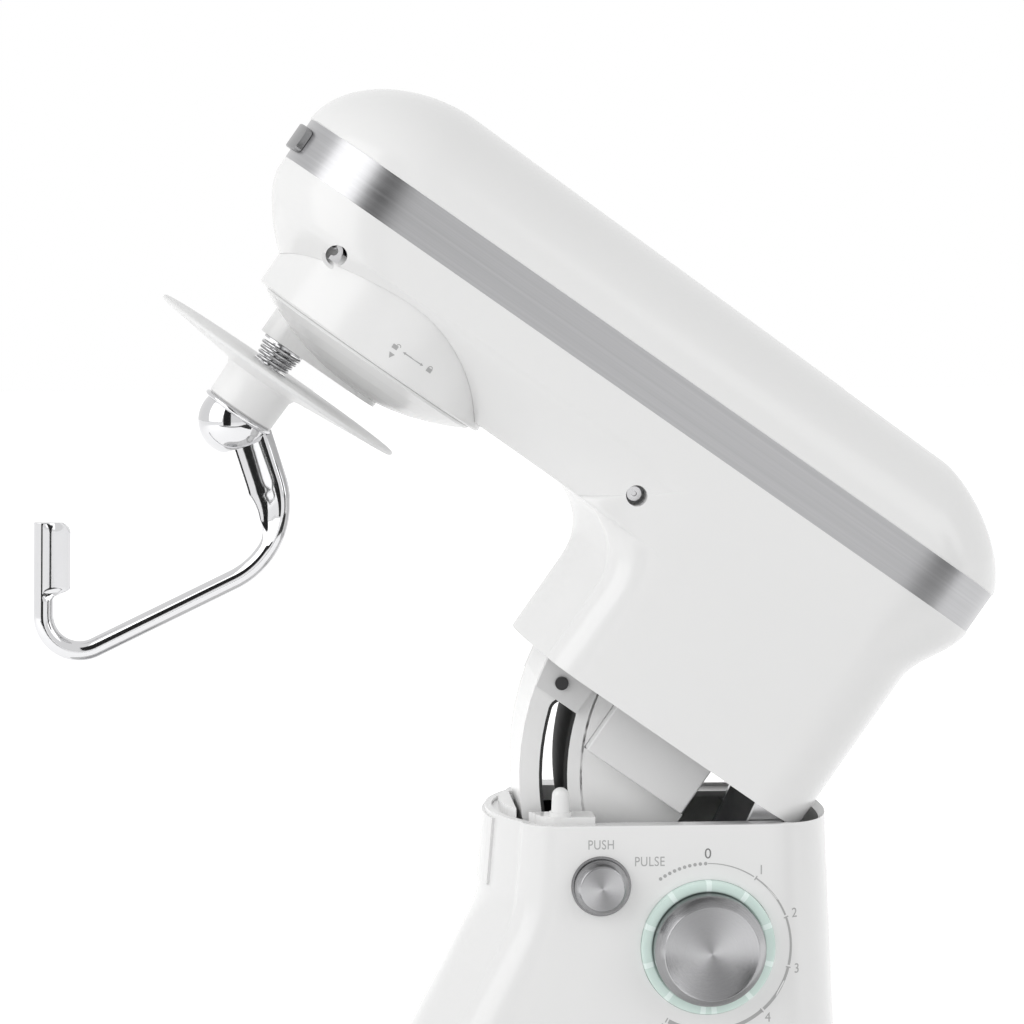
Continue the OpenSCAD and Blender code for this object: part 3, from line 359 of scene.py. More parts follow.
def brushed(name, colour, cell, rough=0.3, turn=(0, 0, 0), streak=0.16):
    """Brushed metal: a noise with long thin cells drives colour, roughness and height."""
    finish = Finish(name, Metallic=1.0)
    lines = finish.noise(1.0, 3.0, 0.6, cell=cell, turn=turn)
    finish.set("Base Color", finish.blend(lines, tuple(c * 0.72 for c in colour), colour))
    finish.set("Roughness", rough + streak * (lines - 0.5))
    return finish.bump(lines, 0.25, 0.00004)


chrome = metal("polished steel", (0.66, 0.665, 0.675), rough=0.09)
hook_metal = metal("polished alloy", (0.66, 0.66, 0.67), rough=0.07, lift=0.12)
cast_metal = metal("cast alloy", (0.70, 0.70, 0.71), rough=0.34, swirl=0.1)
wire_metal = metal("spring wire", (0.62, 0.62, 0.63), rough=0.2)
turned_metal = metal("turned steel", (0.58, 0.58, 0.59), rough=0.26)
lamination = metal("motor laminations", (0.2, 0.2, 0.21), rough=0.45)
copper = metal("lacquered copper", (0.65, 0.28, 0.13), rough=0.25)
band_cell = (0.25, 0.25, 0.0011)
band_metal = brushed("brushed band", (0.50, 0.50, 0.51), band_cell, turn=(0, tilt, 0), streak=0.12)
plate_metal = metal("satin plate", (0.26, 0.26, 0.265), rough=0.32)


def spun(name, colour, centre, rough=0.26):
    """Metal brushed on a lathe: a noise of the radius round a crosswise axis draws fine circles, and a
    painted highlight brightens and darkens the colour twice round the axis.
    """
    finish = Finish(name, Metallic=1.0)
    place = finish.node("VectorMath", {"operation": "SUBTRACT"}, Vector=finish.node("TexCoord", output=3))
    place.socket.node.inputs[1].default_value = centre
    parts = finish.node("SeparateXYZ", Vector=place)
    x, z = parts, Value(finish.tree, parts.socket.node.outputs[2])
    radius = (x * x + z * z).math("SQRT")
    rings = finish.node("TexNoise", {"noise_dimensions": "1D"}, output=0, W=radius * 2600.0, Detail=3.0)
    fan = z.math("ARCTAN2", x)
    # Painted highlight: the colour rises and falls twice round the axis, like a bow-tie reflection.
    painted_sheen = (fan * 2.0 + 0.9).math("SINE").between(-1.0, 1.0)
    shade = tuple(c * 0.3 for c in colour)
    finish.set("Base Color", finish.blend(0.45 * rings + 0.55 * painted_sheen, shade, colour))
    finish.set("Roughness", rough + 0.12 * (rings - 0.5))
    return finish.bump(rings, 0.2, 0.00004)


print(len(bpy.data.materials), "materials")

# %% [markdown]
# ## The plan of the head
# Seen from above, the head is a straight-sided oval with a rounder nose than tail. A superellipse
# describes each end: (x/a)^p + (y/b)^p = 1. The same curve, turned up on its side, tells how much
# of the full plan is left at a height, and so rounds the crown over.

# %% Plan curves
HALF_W, NOSE, TAIL = 62.0, -340.0, 34.5
NOSE_LEN, TAIL_LEN = 60.0, 53.0
NOSE_MID, TAIL_MID = NOSE + NOSE_LEN, TAIL - TAIL_LEN
BAND_Z, COVER_Z, CROWN = 98.0, 118.0, 39.7


def bulge(share, power):
    """What is left of full width at a share of the height: (1 - share^power)^(1/power)."""
    return np.maximum(0, 1 - np.minimum(1, np.abs(share)) ** power) ** (1 / power)


def lerp(a, b, share):
    """The value a share of the way from a to b."""
    return a + (b - a) * share


def both_sides(x, y):
    """A closed outline from one side's points, from the nose's tip to the tail's."""
    return np.concatenate([x, x[-2:0:-1]]), np.concatenate([-y, y[-2:0:-1]])


def cover_plan(share=0.0, inset=0.0):
    """Outline of the head at a share of the crown's height, set in by some millimetres."""
    t = np.linspace(0, np.pi / 2, 31)
    nose, tail = NOSE_LEN - inset, TAIL_LEN - inset
    side = (HALF_W - inset) * bulge(share, 2.1)
    x = np.concatenate([NOSE_MID - nose * bulge(share, 1.85) * np.cos(t) ** 0.91,
                        np.linspace(NOSE_MID, TAIL_MID, 20)[1:-1],
                        TAIL_MID + tail * bulge(share, 1.5) * np.sin(t) ** 0.85])
    y = np.concatenate([side * np.sin(t) ** 0.91, np.full(18, side), side * np.cos(t) ** 0.85])
    return both_sides(x, y)


def flat_ring(plan, z):
    """A plan outline as a level ring of points."""
    x, y = plan
    return np.stack([x, y, np.full_like(x, z)], -1)


# %% [markdown]
# ## The top cover
# One smooth dome from nose to tail. Its rings climb by the sine of an angle, so they crowd
# together near the top, where the surface turns over fastest. An inner skin, set in by the wall,
# is stitched to the outer one at the rim, which is how a real moulding has a thickness.

# %% Top cover
WALL = 2.6


def crown_ring(angle, inset):
    """One ring of the dome: height is sine(angle) times the crown, which falls towards the tail."""
    share = math.sin(angle)
    x, y = cover_plan(share, inset)
    return np.stack([x, y, COVER_Z + share * (CROWN - inset + (-x - 150) / 60)], -1)


climb = np.linspace(0, np.pi / 2, 30)
lip = [flat_ring(cover_plan(0, 0.5), COVER_Z)]
skin = [crown_ring(a, 0.0) for a in climb]
skin[0][:, 2] += 0.5
inner = [crown_ring(a, WALL) for a in climb[::-1]]
top_cover = stacked("top_cover", in_head(inner + lip + skin))
wear(top_cover, white)
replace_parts(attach(top_cover, "head"), "head_top_cover")
print("top cover:", len(top_cover.data.polygons), "faces")

# %% [markdown]
# ## The lower housing
# The neck is a rounded column that runs into the underside through a fillet. Above it the same
# outline becomes a boat: a narrow keel under the nose, which widens to a trough at the neck and
# swells to the full width below the band. Both outlines have three stretches with the same
# numbers of points: the front, the rounded shoulder behind it, and the tail.

# %% Lower housing
NECK_HALF, NECK_REACH, NECK_BACK, SPLIT = 60.0, 135.0, 21.3, -17.0
BELLY_Z, BELLY_W, FILLET = 49.0, 45.0, 27.0
KEEL_W, BELLY_H = 8.0, 30.0
FRONT, SHOULDER, REAR = 30, 12, 21
RISE = BAND_Z - BELLY_Z
quarter = np.pi / 2


def share_of(value, low, high):
    """0 up to low, 1 from high on, and straight in between."""
    return min(1.0, max(0.0, (value - low) / (high - low)))


def fillet_at(z):
    """Share of the neck's fillet that is reached at height z, along a quarter circle."""
    d = share_of(z, BELLY_Z - FILLET, BELLY_Z)
    return 1 - math.sqrt(1 - d * d)


def flare(z):
    """Share of the way from the neck to the tail: s * s * (3 - 2 s) from a little above the belly."""
    s = share_of(z, BELLY_Z + 15, BAND_Z)
    return s * s * (3 - 2 * s)


def housing_half(z):
    """Half the housing's width: the neck's at its foot, and the head's 100 mm higher."""
    return lerp(NECK_HALF, HALF_W, share_of(z, SPLIT, SPLIT + 100))


def tail_stretch(z, inset):
    """The rounded back of the neck, which leans out to the tail of the head above the underside."""
    back = lerp(NECK_BACK, TAIL, flare(z))
    middle = lerp(-12.0, TAIL_MID, flare(z))
    power = lerp(0.9, 0.85, flare(z))
    t = np.linspace(0, quarter, REAR)
    return (middle + (back - inset - middle) * np.sin(t) ** power,
            (housing_half(z) - inset) * np.maximum(0, np.cos(t)) ** power)


def neck_ring(z, inset=0.0, lift=0.0):
    """The neck at a height. Its front runs out by the fillet as it nears the belly."""
    reach = fillet_at(z)
    tip = -NECK_REACH - FILLET * reach + inset
    corner = -NECK_REACH + 14 - 30 * reach + inset
    end = -NECK_REACH + 32
    s = np.linspace(0, 1, FRONT)
    t = np.linspace(0, quarter, SHOULDER + 1)[1:]
    tail_x, tail_y = tail_stretch(z, inset)
    x = np.concatenate([lerp(tip, corner, s ** 2.2), end - (end - corner) * np.cos(t), tail_x])
    y = np.concatenate([(BELLY_W - inset) * s, lerp(BELLY_W, housing_half(z), np.sin(t)) - inset, tail_y])
    return flat_ring(both_sides(x, y), z + lift)


def tub_ring(z, inset=0.0, lift=0.0):
    """The boat above the belly. The keel widens as (1 - (1 - s)^1.2)^(1/1.2) of the rise s."""
    rise = share_of(z, BELLY_Z, BELLY_Z + BELLY_H + 5)
    keel = lerp(KEEL_W, housing_half(z), bulge(1 - share_of(z, BELLY_Z, BELLY_Z + BELLY_H), 1.2)) - inset
    side = lerp(BELLY_W, housing_half(z), bulge(1 - rise, 2)) - inset
    tip = NOSE_MID - (NOSE_LEN - 0.5) * bulge(max(0.0, BAND_Z - 6 - z) / RISE, 1.5) + inset
    middle = lerp(hub[0] + 20, NOSE_MID, (z - BELLY_Z) / RISE)
    corner = lerp(-NECK_REACH - 16, -NECK_REACH + 29, rise) + inset
    end = lerp(-NECK_REACH + 32, -NECK_REACH + 42, rise)
    a = np.linspace(0, quarter, FRONT - 6)
    s = np.linspace(0, 1, 7)[1:]
    t = np.linspace(0, quarter, SHOULDER + 1)[1:]
    tail_x, tail_y = tail_stretch(z, inset)
    x = np.concatenate([middle - (middle - tip) * np.maximum(0, np.cos(a)) ** 0.91,
                        lerp(middle, corner, s), end - (end - corner) * np.cos(t), tail_x])
    y = np.concatenate([keel * np.sin(a) ** 0.91, lerp(keel, side, s),
                        lerp(side, housing_half(z) - inset, np.sin(t)), tail_y])
    return flat_ring(both_sides(x, y), z + lift)


neck_levels = np.concatenate([np.linspace(SPLIT, BELLY_Z - FILLET, 9),
                              BELLY_Z - FILLET + FILLET * np.sin(np.linspace(0, quarter, 14))[1:]])
tub_levels = np.concatenate([BELLY_Z + 0.3 + 34.7 * (1 - np.cos(np.linspace(0, quarter, 22))),
                             np.linspace(BELLY_Z + 35, BAND_Z, 9)[1:]])
outer = [neck_ring(z) for z in neck_levels] + [tub_ring(z) for z in tub_levels]
inner = [neck_ring(z, WALL, WALL if z > 0 else 0) for z in neck_levels]
inner += [tub_ring(z, WALL, WALL if z < BAND_Z else 0) for z in tub_levels]
housing = stacked("lower_housing", in_head(outer + inner[::-1]), along=True)

SKIRT_R, SKIRT_Z, SKIRT_TOP, WELL_R = 59.0, 46.0, 77.0, 4.6
SCREWS = [(hub[0] - 39.5, BELLY_Z + 26, 37.0, 45.5), (-NECK_REACH + 4, BELLY_Z + 15, 45.0, 56.0)]


def across(x, z):
    """Turns a turned profile to lie across the head, with its axis through x and z."""
    return lambda p: in_head(np.stack([p[..., 0] + x, p[..., 2], p[..., 1] + z], -1))


def over_hub(p):
    return in_head(p + np.array([hub[0], 0, 0]))


pocket = turned("pocket", [(0, BELLY_Z - 8), (SKIRT_R + 0.2, BELLY_Z - 8), (SKIRT_R + 0.2, SKIRT_TOP),
                           (0, SKIRT_TOP)], over_hub, 128)
drill = [(0, -70), (WELL_R, -70), (WELL_R, 70), (0, 70)]
holes = [turned("hole", drill, across(x, z), 48) for x, z, *_ in SCREWS]
cut(housing, pocket, *holes)
wear(housing, white)
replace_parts(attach(housing, "head"), "head_lower_housing")
print("lower housing:", len(housing.data.polygons), "faces")

# %% [markdown]
# ## Skirt and screw wells
# The skirt is a plain turned ring that meets the keel in a curved crease. Each side screw sits at
# the bottom of a short well, so that only a shaded hole shows. The chassis plate inside is
# trimmed to the keel.

# %% Skirt, wells and screws
SKIRT_WALL, SKIRT_BORE = 3.0, 20.0
lining, ceiling = SKIRT_R - SKIRT_WALL, SKIRT_TOP - SKIRT_WALL
skirt_profile = [(lining, SKIRT_Z + 0.6), (lining + 0.6, SKIRT_Z), (SKIRT_R - 0.8, SKIRT_Z),
                 (SKIRT_R, SKIRT_Z + 0.8), (SKIRT_R, SKIRT_TOP), (SKIRT_BORE, SKIRT_TOP),
                 (SKIRT_BORE, ceiling), (lining, ceiling), (lining, SKIRT_Z + 0.6)]
skirt = turned("hub_ring", skirt_profile, over_hub, 160)
wear(skirt, white)
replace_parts(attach(skirt, "head"), "hub_skirt")


def joined(name, pieces, finish, body):
    """Several small pieces as one object with one finish."""
    points, faces = [], []
    for piece in pieces:
        start = len(points)
        points += [v.co[:] for v in piece.data.vertices]
        faces += [[start + k for k in f.vertices] for f in piece.data.polygons]
        bpy.data.objects.remove(piece)
    whole = make_mesh(name, points, faces)
    wear(whole, finish)
    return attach(whole, body)


WELL_OUT = 6.2
SCREW_PROFILE = [(0, -6), (1.9, -6), (1.9, 0), (4.4, 0), (4.4, 1.6), (3.2, 2.6), (1.2, 2.6), (1.0, 1.2),
                 (0, 1.2)]
wells, heads = [], []
for x, z, low, high in SCREWS:
    wall = [(WELL_R, low), (WELL_OUT, low), (WELL_OUT, high), (WELL_R, high), (WELL_R, low)]
    screw = [(r, low + h) for r, h in SCREW_PROFILE]
    for side in (-1, 1):
        wells.append(turned("well", [(r, side * y) for r, y in wall], across(x, z), 40))
        heads.append(turned("head", [(r, side * y) for r, y in screw], across(x, z), 40))
joined("screw_wells", wells, white, "head")
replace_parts(joined("case_screws", heads, wire_metal, "head"), "side_screws")


def block(name, low, high, place):
    """A box between two corners, in millimetres, put in place by `place`."""
    box = np.array([[(x, y, z) for z in (low[2], high[2])] for x, y in
                    [(low[0], low[1]), (high[0], low[1]), (high[0], high[1]), (low[0], high[1])]], float)
    return stacked(name, place(box.transpose(1, 0, 2)), caps=True)


def copy_of(node, name):
    """The carried-over node's mesh as a new piece with its doubles merged, ready to be cut."""
    mesh = frame["nodes"][node].data
    return make_mesh(name, [v.co[:] for v in mesh.vertices], [tuple(f.vertices) for f in mesh.polygons])


TRIMS, TRIM_LENGTH, TRIM_HEIGHT = [(-322.0, 39.0, 66.0), (-141.0, 44.5, 52.0)], 22.0, 30.0
trims = []
for side in (-1, 1):
    for x, y, z in TRIMS:
        near, far = sorted((side * y, side * HALF_W))
        trims.append(block("trim", (x, near, z), (x + TRIM_LENGTH, far, z + TRIM_HEIGHT), in_head))
chassis = cut(copy_of("chassis", "drive_chassis"), *trims)
wear(chassis, cast_metal)
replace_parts(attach(chassis, "head"), "chassis")
print("skirt, wells and screws done")

# %% [markdown]
# ## The brushed band and its badge
# The band follows the plan curve half a millimetre inside the shells. A small proud plate on the
# nose follows the same curve and is left blank. Its ends are rounded by a superellipse in height.

# %% Band and badge
band_rings = [flat_ring(cover_plan(0, inset), z) for inset, z in
              [(0.5, BAND_Z), (0.5, COVER_Z), (1.7, COVER_Z), (1.7, BAND_Z)]]
band = stacked("brushed_trim", in_head(band_rings), along=True)
wear(band, band_metal)
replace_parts(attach(band, "head"), "trim_band")


def nose_curve(y, proud):
    """Where the nose's plan curve, grown by some millimetres, is at a distance y off the middle."""
    s = (np.abs(y) / (HALF_W + proud)) ** (1 / 0.91)
    return NOSE_MID - (NOSE_LEN + proud) * np.sqrt(1 - s ** 2) ** 0.91


BADGE_W, BADGE_H, BADGE_PROUD = 25.0, 6.0, 2.4
y = BADGE_W * np.sin(np.linspace(-quarter, quarter, 41))
half = np.maximum(0.4, BADGE_H * bulge(np.abs(y) / BADGE_W, 7))
middle = (BAND_Z + COVER_Z) / 2
edge = [(-0.3, -1), (BADGE_PROUD - 0.5, -1), (BADGE_PROUD, -0.9), (BADGE_PROUD, 0.9),
        (BADGE_PROUD - 0.5, 1), (-0.3, 1)]
badge = stacked("badge", in_head([[(nose_curve(a, proud), a, middle + h * side) for proud, side in edge]
                                  for a, h in zip(y, half)]), caps=True)
wear(badge, plate_metal)
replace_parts(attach(badge, "head"), "badge_plate")
print("band and badge done")

# %% [markdown]
# ## The base and its column
# The base is a round tray in front and a rounded block behind. The column rises from it through
# a foot that spreads by a quarter circle. Its front is upright at the top, bends forward round the
# controls, and then runs out into the platform.

# %% Base and column
BASE_R, REAR_W, BASE_BACK, PLATFORM, CAST = 112.0, 98.0, 45.0, 45.0, 3.0
FOOT_H, SEAT_R = 4.0, 58.0
hub_x = hub[0]
COLUMN_TOP = hinge[2] / MM - 18.0
DROP = COLUMN_TOP - PLATFORM
CORNER, REACH = 22, 12


def spread(depth, radius):
    """How far the foot has spread at a depth: a quarter circle into the platform."""
    s = min(1.0, max(0.0, depth - DROP + radius) / radius)
    return radius * (1 - math.sqrt(max(0.0, 1 - s * s)))


def column_half(depth):
    return NECK_HALF + 0.05 * depth + spread(depth, 20)


def column_back(depth):
    return NECK_BACK - 1 + 0.05 * depth + spread(depth, 9)


def column_front(depth):
    bend = min(math.radians(25), math.asin(min(1.0, max(0.0, depth - 32) / 50)))
    return (-NECK_REACH + 2 - 0.085 * depth - 50 * (1 - math.cos(bend))
            - 0.43 * max(0.0, depth - 53) - spread(depth, 11))


def column_outline(depth, inset=0.0):
    """One side of the column's outline, from the middle of its front to the middle of its back."""
    tip = column_front(depth) + inset
    end = lerp(-NECK_REACH + 32, -NECK_REACH + 5, max(0.0, depth - 32) / (DROP - 32))
    half, back = column_half(depth) - inset, column_back(depth) - inset
    s = np.linspace(0, 1, CORNER)
    t = np.linspace(0, quarter, REACH + 1)[1:]
    r = np.linspace(0, quarter, REAR)
    x = np.concatenate([tip + 13 * s ** 2.2, end - (end - tip - 13) * np.cos(t),
                        -12 + (back + 12) * np.sin(r) ** 0.9])
    y = np.concatenate([0.75 * half * s, half * lerp(0.75, 1, np.sin(t)),
                        half * np.maximum(0, np.cos(r)) ** 0.9])
    return x, y


def column_ring(depth, inset=0.0, lift=0.0):
    return flat_ring(both_sides(*column_outline(max(0.0, depth), inset)), COLUMN_TOP - depth + lift)


def base_ring(z, inset=0.0):
    """The base's outline at a height; the top edge is rounded over its last 10 mm."""
    d = max(0.0, z - PLATFORM + 10) / 10
    e = 10 * (1 - math.sqrt(1 - d * d)) + inset
    t = np.radians(np.linspace(0, 100, CORNER))
    s = np.linspace(0, 1, REACH + 1)[1:]
    r = np.linspace(0, quarter, REAR)
    x = np.concatenate([hub_x - (BASE_R - e) * np.cos(t), lerp(hub_x + BASE_R * 0.17, -60, s),
                        -60 + (BASE_BACK + 60 - e) * np.sin(r) ** 0.8])
    y = np.concatenate([(BASE_R - e) * np.sin(t), lerp(BASE_R * 0.985, REAR_W, s) - e,
                        (REAR_W - e) * np.maximum(0, np.cos(r)) ** 0.8])
    return flat_ring(both_sides(x, y), z)


def standing(p):
    """Heights above the table and distances from the hinge, in millimetres, become metres."""
    return np.asarray(p, float) * MM + np.array([hinge[0], 0, 0])


round_edge = PLATFORM - 10 + 10 * np.sin(np.linspace(0, quarter, 12))
depths = np.concatenate([DROP - 20 * (1 - np.cos(np.linspace(0, quarter, 16)))[:-1],
                         np.linspace(DROP - 20, 0, 46)])
outer = [base_ring(z) for z in [FOOT_H, 12, 22, *round_edge]] + [column_ring(d) for d in depths]
inner = [base_ring(z, CAST) for z in [FOOT_H, PLATFORM - 10]]
inner += [flat_ring(both_sides(*base_ring(PLATFORM, CAST)[:CORNER + REACH + REAR, :2].T * [[1], [-1]]),
                    PLATFORM - CAST)]
inner += [column_ring(DROP, CAST, -CAST)] + [column_ring(d, CAST) for d in depths[depths < DROP - 5][::3]]
inner += [column_ring(0.0, CAST)]
casting = stacked("base_and_column", standing(outer + inner[::-1]), along=True)


def side_on(x, z):
    """Turns a turned profile to lie across the stand, with its axis through x and z off the hinge."""
    return lambda p: at_hinge(np.stack([p[..., 0] + x, p[..., 2], p[..., 1] + z], -1))


def over_seat(p):
    return standing(p + np.array([hub_x, 0, 0]))


DIAL, BUTTON = (-38.8, -72.0), (-86.0, -44.5)
RING_R, DIAL_R, BUTTON_R = 29.7, 24.6, 12.0


def drum(name, radius, low, high, place):
    """A plain round cutter."""
    return turned(name, [(0, low), (radius, low), (radius, high), (0, high)], place, 128)


tail_x, tail_y = tail_stretch(SPLIT, 0)
reach = np.hypot(np.maximum(0, tail_x), SPLIT) + 0.7
swing = [(0, -NECK_HALF - 0.7)] + list(zip(reach, -tail_y - 0.7))
swing += [(r, -y) for r, y in reversed(swing)]
room = turned("room", swing, side_on(0, 0), 160)
cut(casting, drum("seat_hole", SEAT_R + 3.2, PLATFORM - CAST - 1, PLATFORM + 1, over_seat), room,
    drum("dial_hole", RING_R + 0.2, -75, -52, side_on(*DIAL)),
    drum("button_hole", BUTTON_R + 1.2, -75, -52, side_on(*BUTTON)))
wear(casting, white)
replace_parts(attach(casting, "stand"), "base_casting")
print("base and column:", len(casting.data.polygons), "faces")

# %% [markdown]
# ## The dough hook
# A round rod turns twice between the dome and its tip, along arcs that touch the straight
# stretches. Where a blade reaches inwards from the rod, the section is drawn out: at angle a its
# point moves from (r cos a, r sin a) to the width times cos(a)^0.7 and a thin half thickness.

# %% Dough hook
HOOK_TOP, ROD, BLADE = -6.6, 4.5, 14.0
DOME_Z, DOME_R = HOOK_TOP - 5.6, 15.5
HOOK_START, HOOK_ARM, HOOK_LEAN = 12.3, 47.6, math.radians(37.5)


def rounded(a, b, c, radius, steps):
    """Points of the arc that rounds the corner b between a and c and touches both sides."""
    u, v = (a - b) / np.linalg.norm(a - b), (c - b) / np.linalg.norm(c - b)
    half = math.acos(u @ v) / 2
    w = (u + v) / np.linalg.norm(u + v)
    centre = b + w * radius / math.sin(half)
    p, q = b + u * radius / math.tan(half) - centre, b + v * radius / math.tan(half) - centre
    start, end = math.atan2(p[1], p[0]), math.atan2(q[1], q[0])
    turn = (end - start + 3 * np.pi) % (2 * np.pi) - np.pi
    a = start + turn * np.linspace(0, 1, steps)
    return centre + radius * np.stack([np.cos(a), np.sin(a)], -1)


outward = np.array([math.cos(HOOK_LEAN), -math.sin(HOOK_LEAN)])
square_up = np.array([math.sin(HOOK_LEAN), math.cos(HOOK_LEAN)])
AXIS_SHIFT = np.array([4.8, 0])
root = AXIS_SHIFT + (0, DOME_Z) + HOOK_START * outward + 7.7 * square_up
corners = [root, root + HOOK_ARM * outward, AXIS_SHIFT + (-10, -153.7), AXIS_SHIFT + (-48, -97.7)]
bend_1 = rounded(*corners[:3], 38, 40)
bend_2 = rounded(*corners[1:], 16, 30)
path = np.concatenate([lerp(root - 7 * outward, bend_1[0], np.linspace(0, 1, 12)[:-1, None]), bend_1,
                       lerp(bend_1[-1], bend_2[0], np.linspace(0, 1, 16)[1:-1, None]), bend_2,
                       lerp(bend_2[-1], corners[3], np.linspace(0, 1, 40)[1:, None])])
run = np.concatenate([[0], np.cumsum(np.linalg.norm(np.diff(path, axis=0), axis=1))])
widths = [(0, BLADE), (27, BLADE), (39, 0.7 * BLADE), (55, ROD)]
widths += [(run[-1] - back, width) for back, width in
           [(34, ROD), (30, 0.85 * BLADE), (4, 0.85 * BLADE), (1.5, 0.78 * BLADE), (0, 0.6 * BLADE)]]
wide = np.interp(run, *zip(*widths))
drawn = np.minimum(1, (wide - ROD) / 4)[:, None]
square = np.gradient(path, axis=0)
square = np.stack([square[:, 1], -square[:, 0]], -1) / np.linalg.norm(square, axis=1)[:, None]
a = np.linspace(0, 2 * np.pi, 48, endpoint=False)[None, :]
inside = np.maximum(0, np.cos(a))
half_thick = np.minimum(ROD * np.abs(np.sin(a)), 1.3 + (ROD - 1.3) * (1 - inside) ** 4) * np.sign(np.sin(a))
is_blade = drawn * (np.cos(a) > 0)
across_rod = lerp(ROD * np.cos(a), wide[:, None] * inside ** 0.7, is_blade)
up_rod = lerp(ROD * np.sin(a), half_thick, is_blade)
flat = path[:, None, :] + square[:, None, :] * across_rod[..., None]
rod_rings = np.stack([flat[..., 0] + beater[0], up_rod, flat[..., 1]], -1)
hook = stacked("hook_rod", in_head(rod_rings), caps=True)
soften(hook, 0.6, 60)
wear(hook, hook_metal)
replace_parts(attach(hook, "hook"), "dough_hook")
print("hook rod:", len(hook.data.polygons), "faces")

# %% [markdown]
# ## The dome and the splash guard
# Both are turned. The dome is a sphere under a flange with a rolled edge, cut flat where the rod
# leaves it. The guard is a thin disc with a soft rim on a tapered collar.

# %% Dome and guard
SLEEVE_R, FLANGE_R, COLLAR_R, GUARD_R, GUARD_Z = 8.5, 17.2, 16.6, 62.0, 17.0


def on_beater(p):
    return in_head(p + np.array([beater[0], 0, 0]))


def arc(centre_r, centre_z, radius, start, end, steps):
    """Profile points (radius, height) along an arc between two angles in degrees."""
    a = np.radians(np.linspace(start, end, steps))
    return list(zip(centre_r + radius * np.cos(a), centre_z + radius * np.sin(a)))


ball = [(max(0.0, r), z) for r, z in arc(0, DOME_Z, DOME_R, -90, 14, 40)]
roll = arc(FLANGE_R - 1.2, HOOK_TOP - 1.2, 1.2, -90, 90, 12)
BEATER_BORE = 5.1
sleeve = [(SLEEVE_R, HOOK_TOP), (SLEEVE_R, GUARD_Z + 0.4), (BEATER_BORE, GUARD_Z + 0.4),
          (BEATER_BORE, DOME_Z), (0, DOME_Z)]
dome = turned("hook_dome", ball + roll + sleeve, on_beater, 128)


def along_arm(p):
    """From (out along the arm, across, square to it) to the head, starting at the dome's middle."""
    x = p[..., 0] * outward[0] + p[..., 2] * square_up[0]
    z = p[..., 0] * outward[1] + p[..., 2] * square_up[1]
    return on_beater(np.stack([x, p[..., 1], z + DOME_Z], -1))


cut(dome, block("flat_cut", (HOOK_START, -30, -30), (40, 30, 30), along_arm))
wear(dome, hook_metal)
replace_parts(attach(dome, "hook"), "hook_hub")

GUARD_SHIFT = 5.0
rim = arc(GUARD_R - 1, GUARD_Z - 1, 1.0, 90, -90, 10)
outline = np.array([(SLEEVE_R, GUARD_Z), *rim, (COLLAR_R + 4, GUARD_Z - 6.3), (COLLAR_R + 1.2, GUARD_Z - 7),
                    (COLLAR_R, GUARD_Z - 9), (COLLAR_R - 0.4, HOOK_TOP + 0.8), (COLLAR_R - 1.2, HOOK_TOP),
                    (SLEEVE_R, HOOK_TOP), (SLEEVE_R, GUARD_Z)])
a = np.linspace(0, 2 * np.pi, 160, endpoint=False)[None, :]
off = GUARD_SHIFT * ((outline[:, :1] > COLLAR_R + 5) * 1.0)
r, h = outline[:, :1], outline[:, 1:]
guard = stacked("splash_guard", on_beater(np.stack([off + r * np.cos(a), r * np.sin(a), h + 0 * a], -1)))
wear(guard, guard_white)
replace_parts(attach(guard, "hook"), "guard_disc")
print("dome and guard:", len(dome.data.polygons) + len(guard.data.polygons), "faces")

# %% [markdown]
# ## The spring
# A round wire wound into a cone: at share s of its length the coil's radius shrinks from 9.2 to
# 7.2 mm while it falls from the rotor to the guard disc. The share of the coil's free length that
# is left when the hook is pushed up is worked out, but the coil keeps its shape.

# %% Spring
COIL_TOP, COIL_LOW, WIRE_R, TURNS = 26.3, 18.4, 0.85, 3.5
s = np.linspace(0, 1, 169)[:, None]
a, c = 2 * np.pi * TURNS * s, np.linspace(0, 2 * np.pi, 12, endpoint=False)[None, :]
coil = lerp(9.2, 7.2, s) + WIRE_R * np.cos(c)
height = lerp(COIL_TOP, COIL_LOW, s) + WIRE_R * np.sin(c)
wire = np.stack([beater[0] + coil * np.cos(a), -coil * np.sin(a), height], -1)
spring = stacked("coil_spring", in_head(wire), caps=True)
wear(spring, wire_metal)
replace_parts(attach(spring, "spindle"), "shaft_spring")
free = COIL_TOP - COIL_LOW + 2 * WIRE_R
travel = joints["hook_lift"]["range_m"][1] / MM
(free - travel) / free
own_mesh(spring)
print("spring:", len(spring.data.polygons), "faces")

# %% [markdown]
# ## Under the neck
# A cover hangs below the motor. Between it and the slotted arm two cheeks close the space: their
# edge follows the arm's inner arc, and then runs straight back under the cover.

# %% Motor cover and cheeks
ARM_IN, SHROUD = 92.0, (-81.8, -30.0, -41.4)
COVER_HALF, COVER_WALL = 40.0, 2.0
hollow = block("hollow", (SHROUD[0] + COVER_WALL, COVER_WALL - COVER_HALF, SHROUD[2] + COVER_WALL),
               (SHROUD[1] - COVER_WALL, COVER_HALF - COVER_WALL, SPLIT + 5), in_head)
cover = block("motor_cover", (SHROUD[0], -COVER_HALF, SHROUD[2]),
              (SHROUD[1], COVER_HALF, SPLIT + 0.5), in_head)
cut(cover, hollow)
soften(cover, 1.2)
wear(cover, cover_grey)
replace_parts(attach(cover, "head"), "motor_shroud")

swing = np.radians(np.linspace(11.5, 50, 24))
edge = np.concatenate([np.stack([-(ARM_IN + 1) * np.cos(swing), -(ARM_IN + 1) * np.sin(swing)], -1),
                       [(-28, -70), (-28, SHROUD[2] - 0.2), (SHROUD[0] - 0.2, SHROUD[2] - 0.2),
                        (SHROUD[0] - 0.2, SPLIT - 0.2)]])
cheeks = []
for low in (-32, 29):
    faces = np.stack([np.insert(edge, 1, y, axis=1) for y in (low, low + 3)])
    cheeks.append(stacked("cheek", in_head(faces), caps=True))
joined("arm_cheeks", cheeks, white, "head")
print("motor cover and cheeks done")
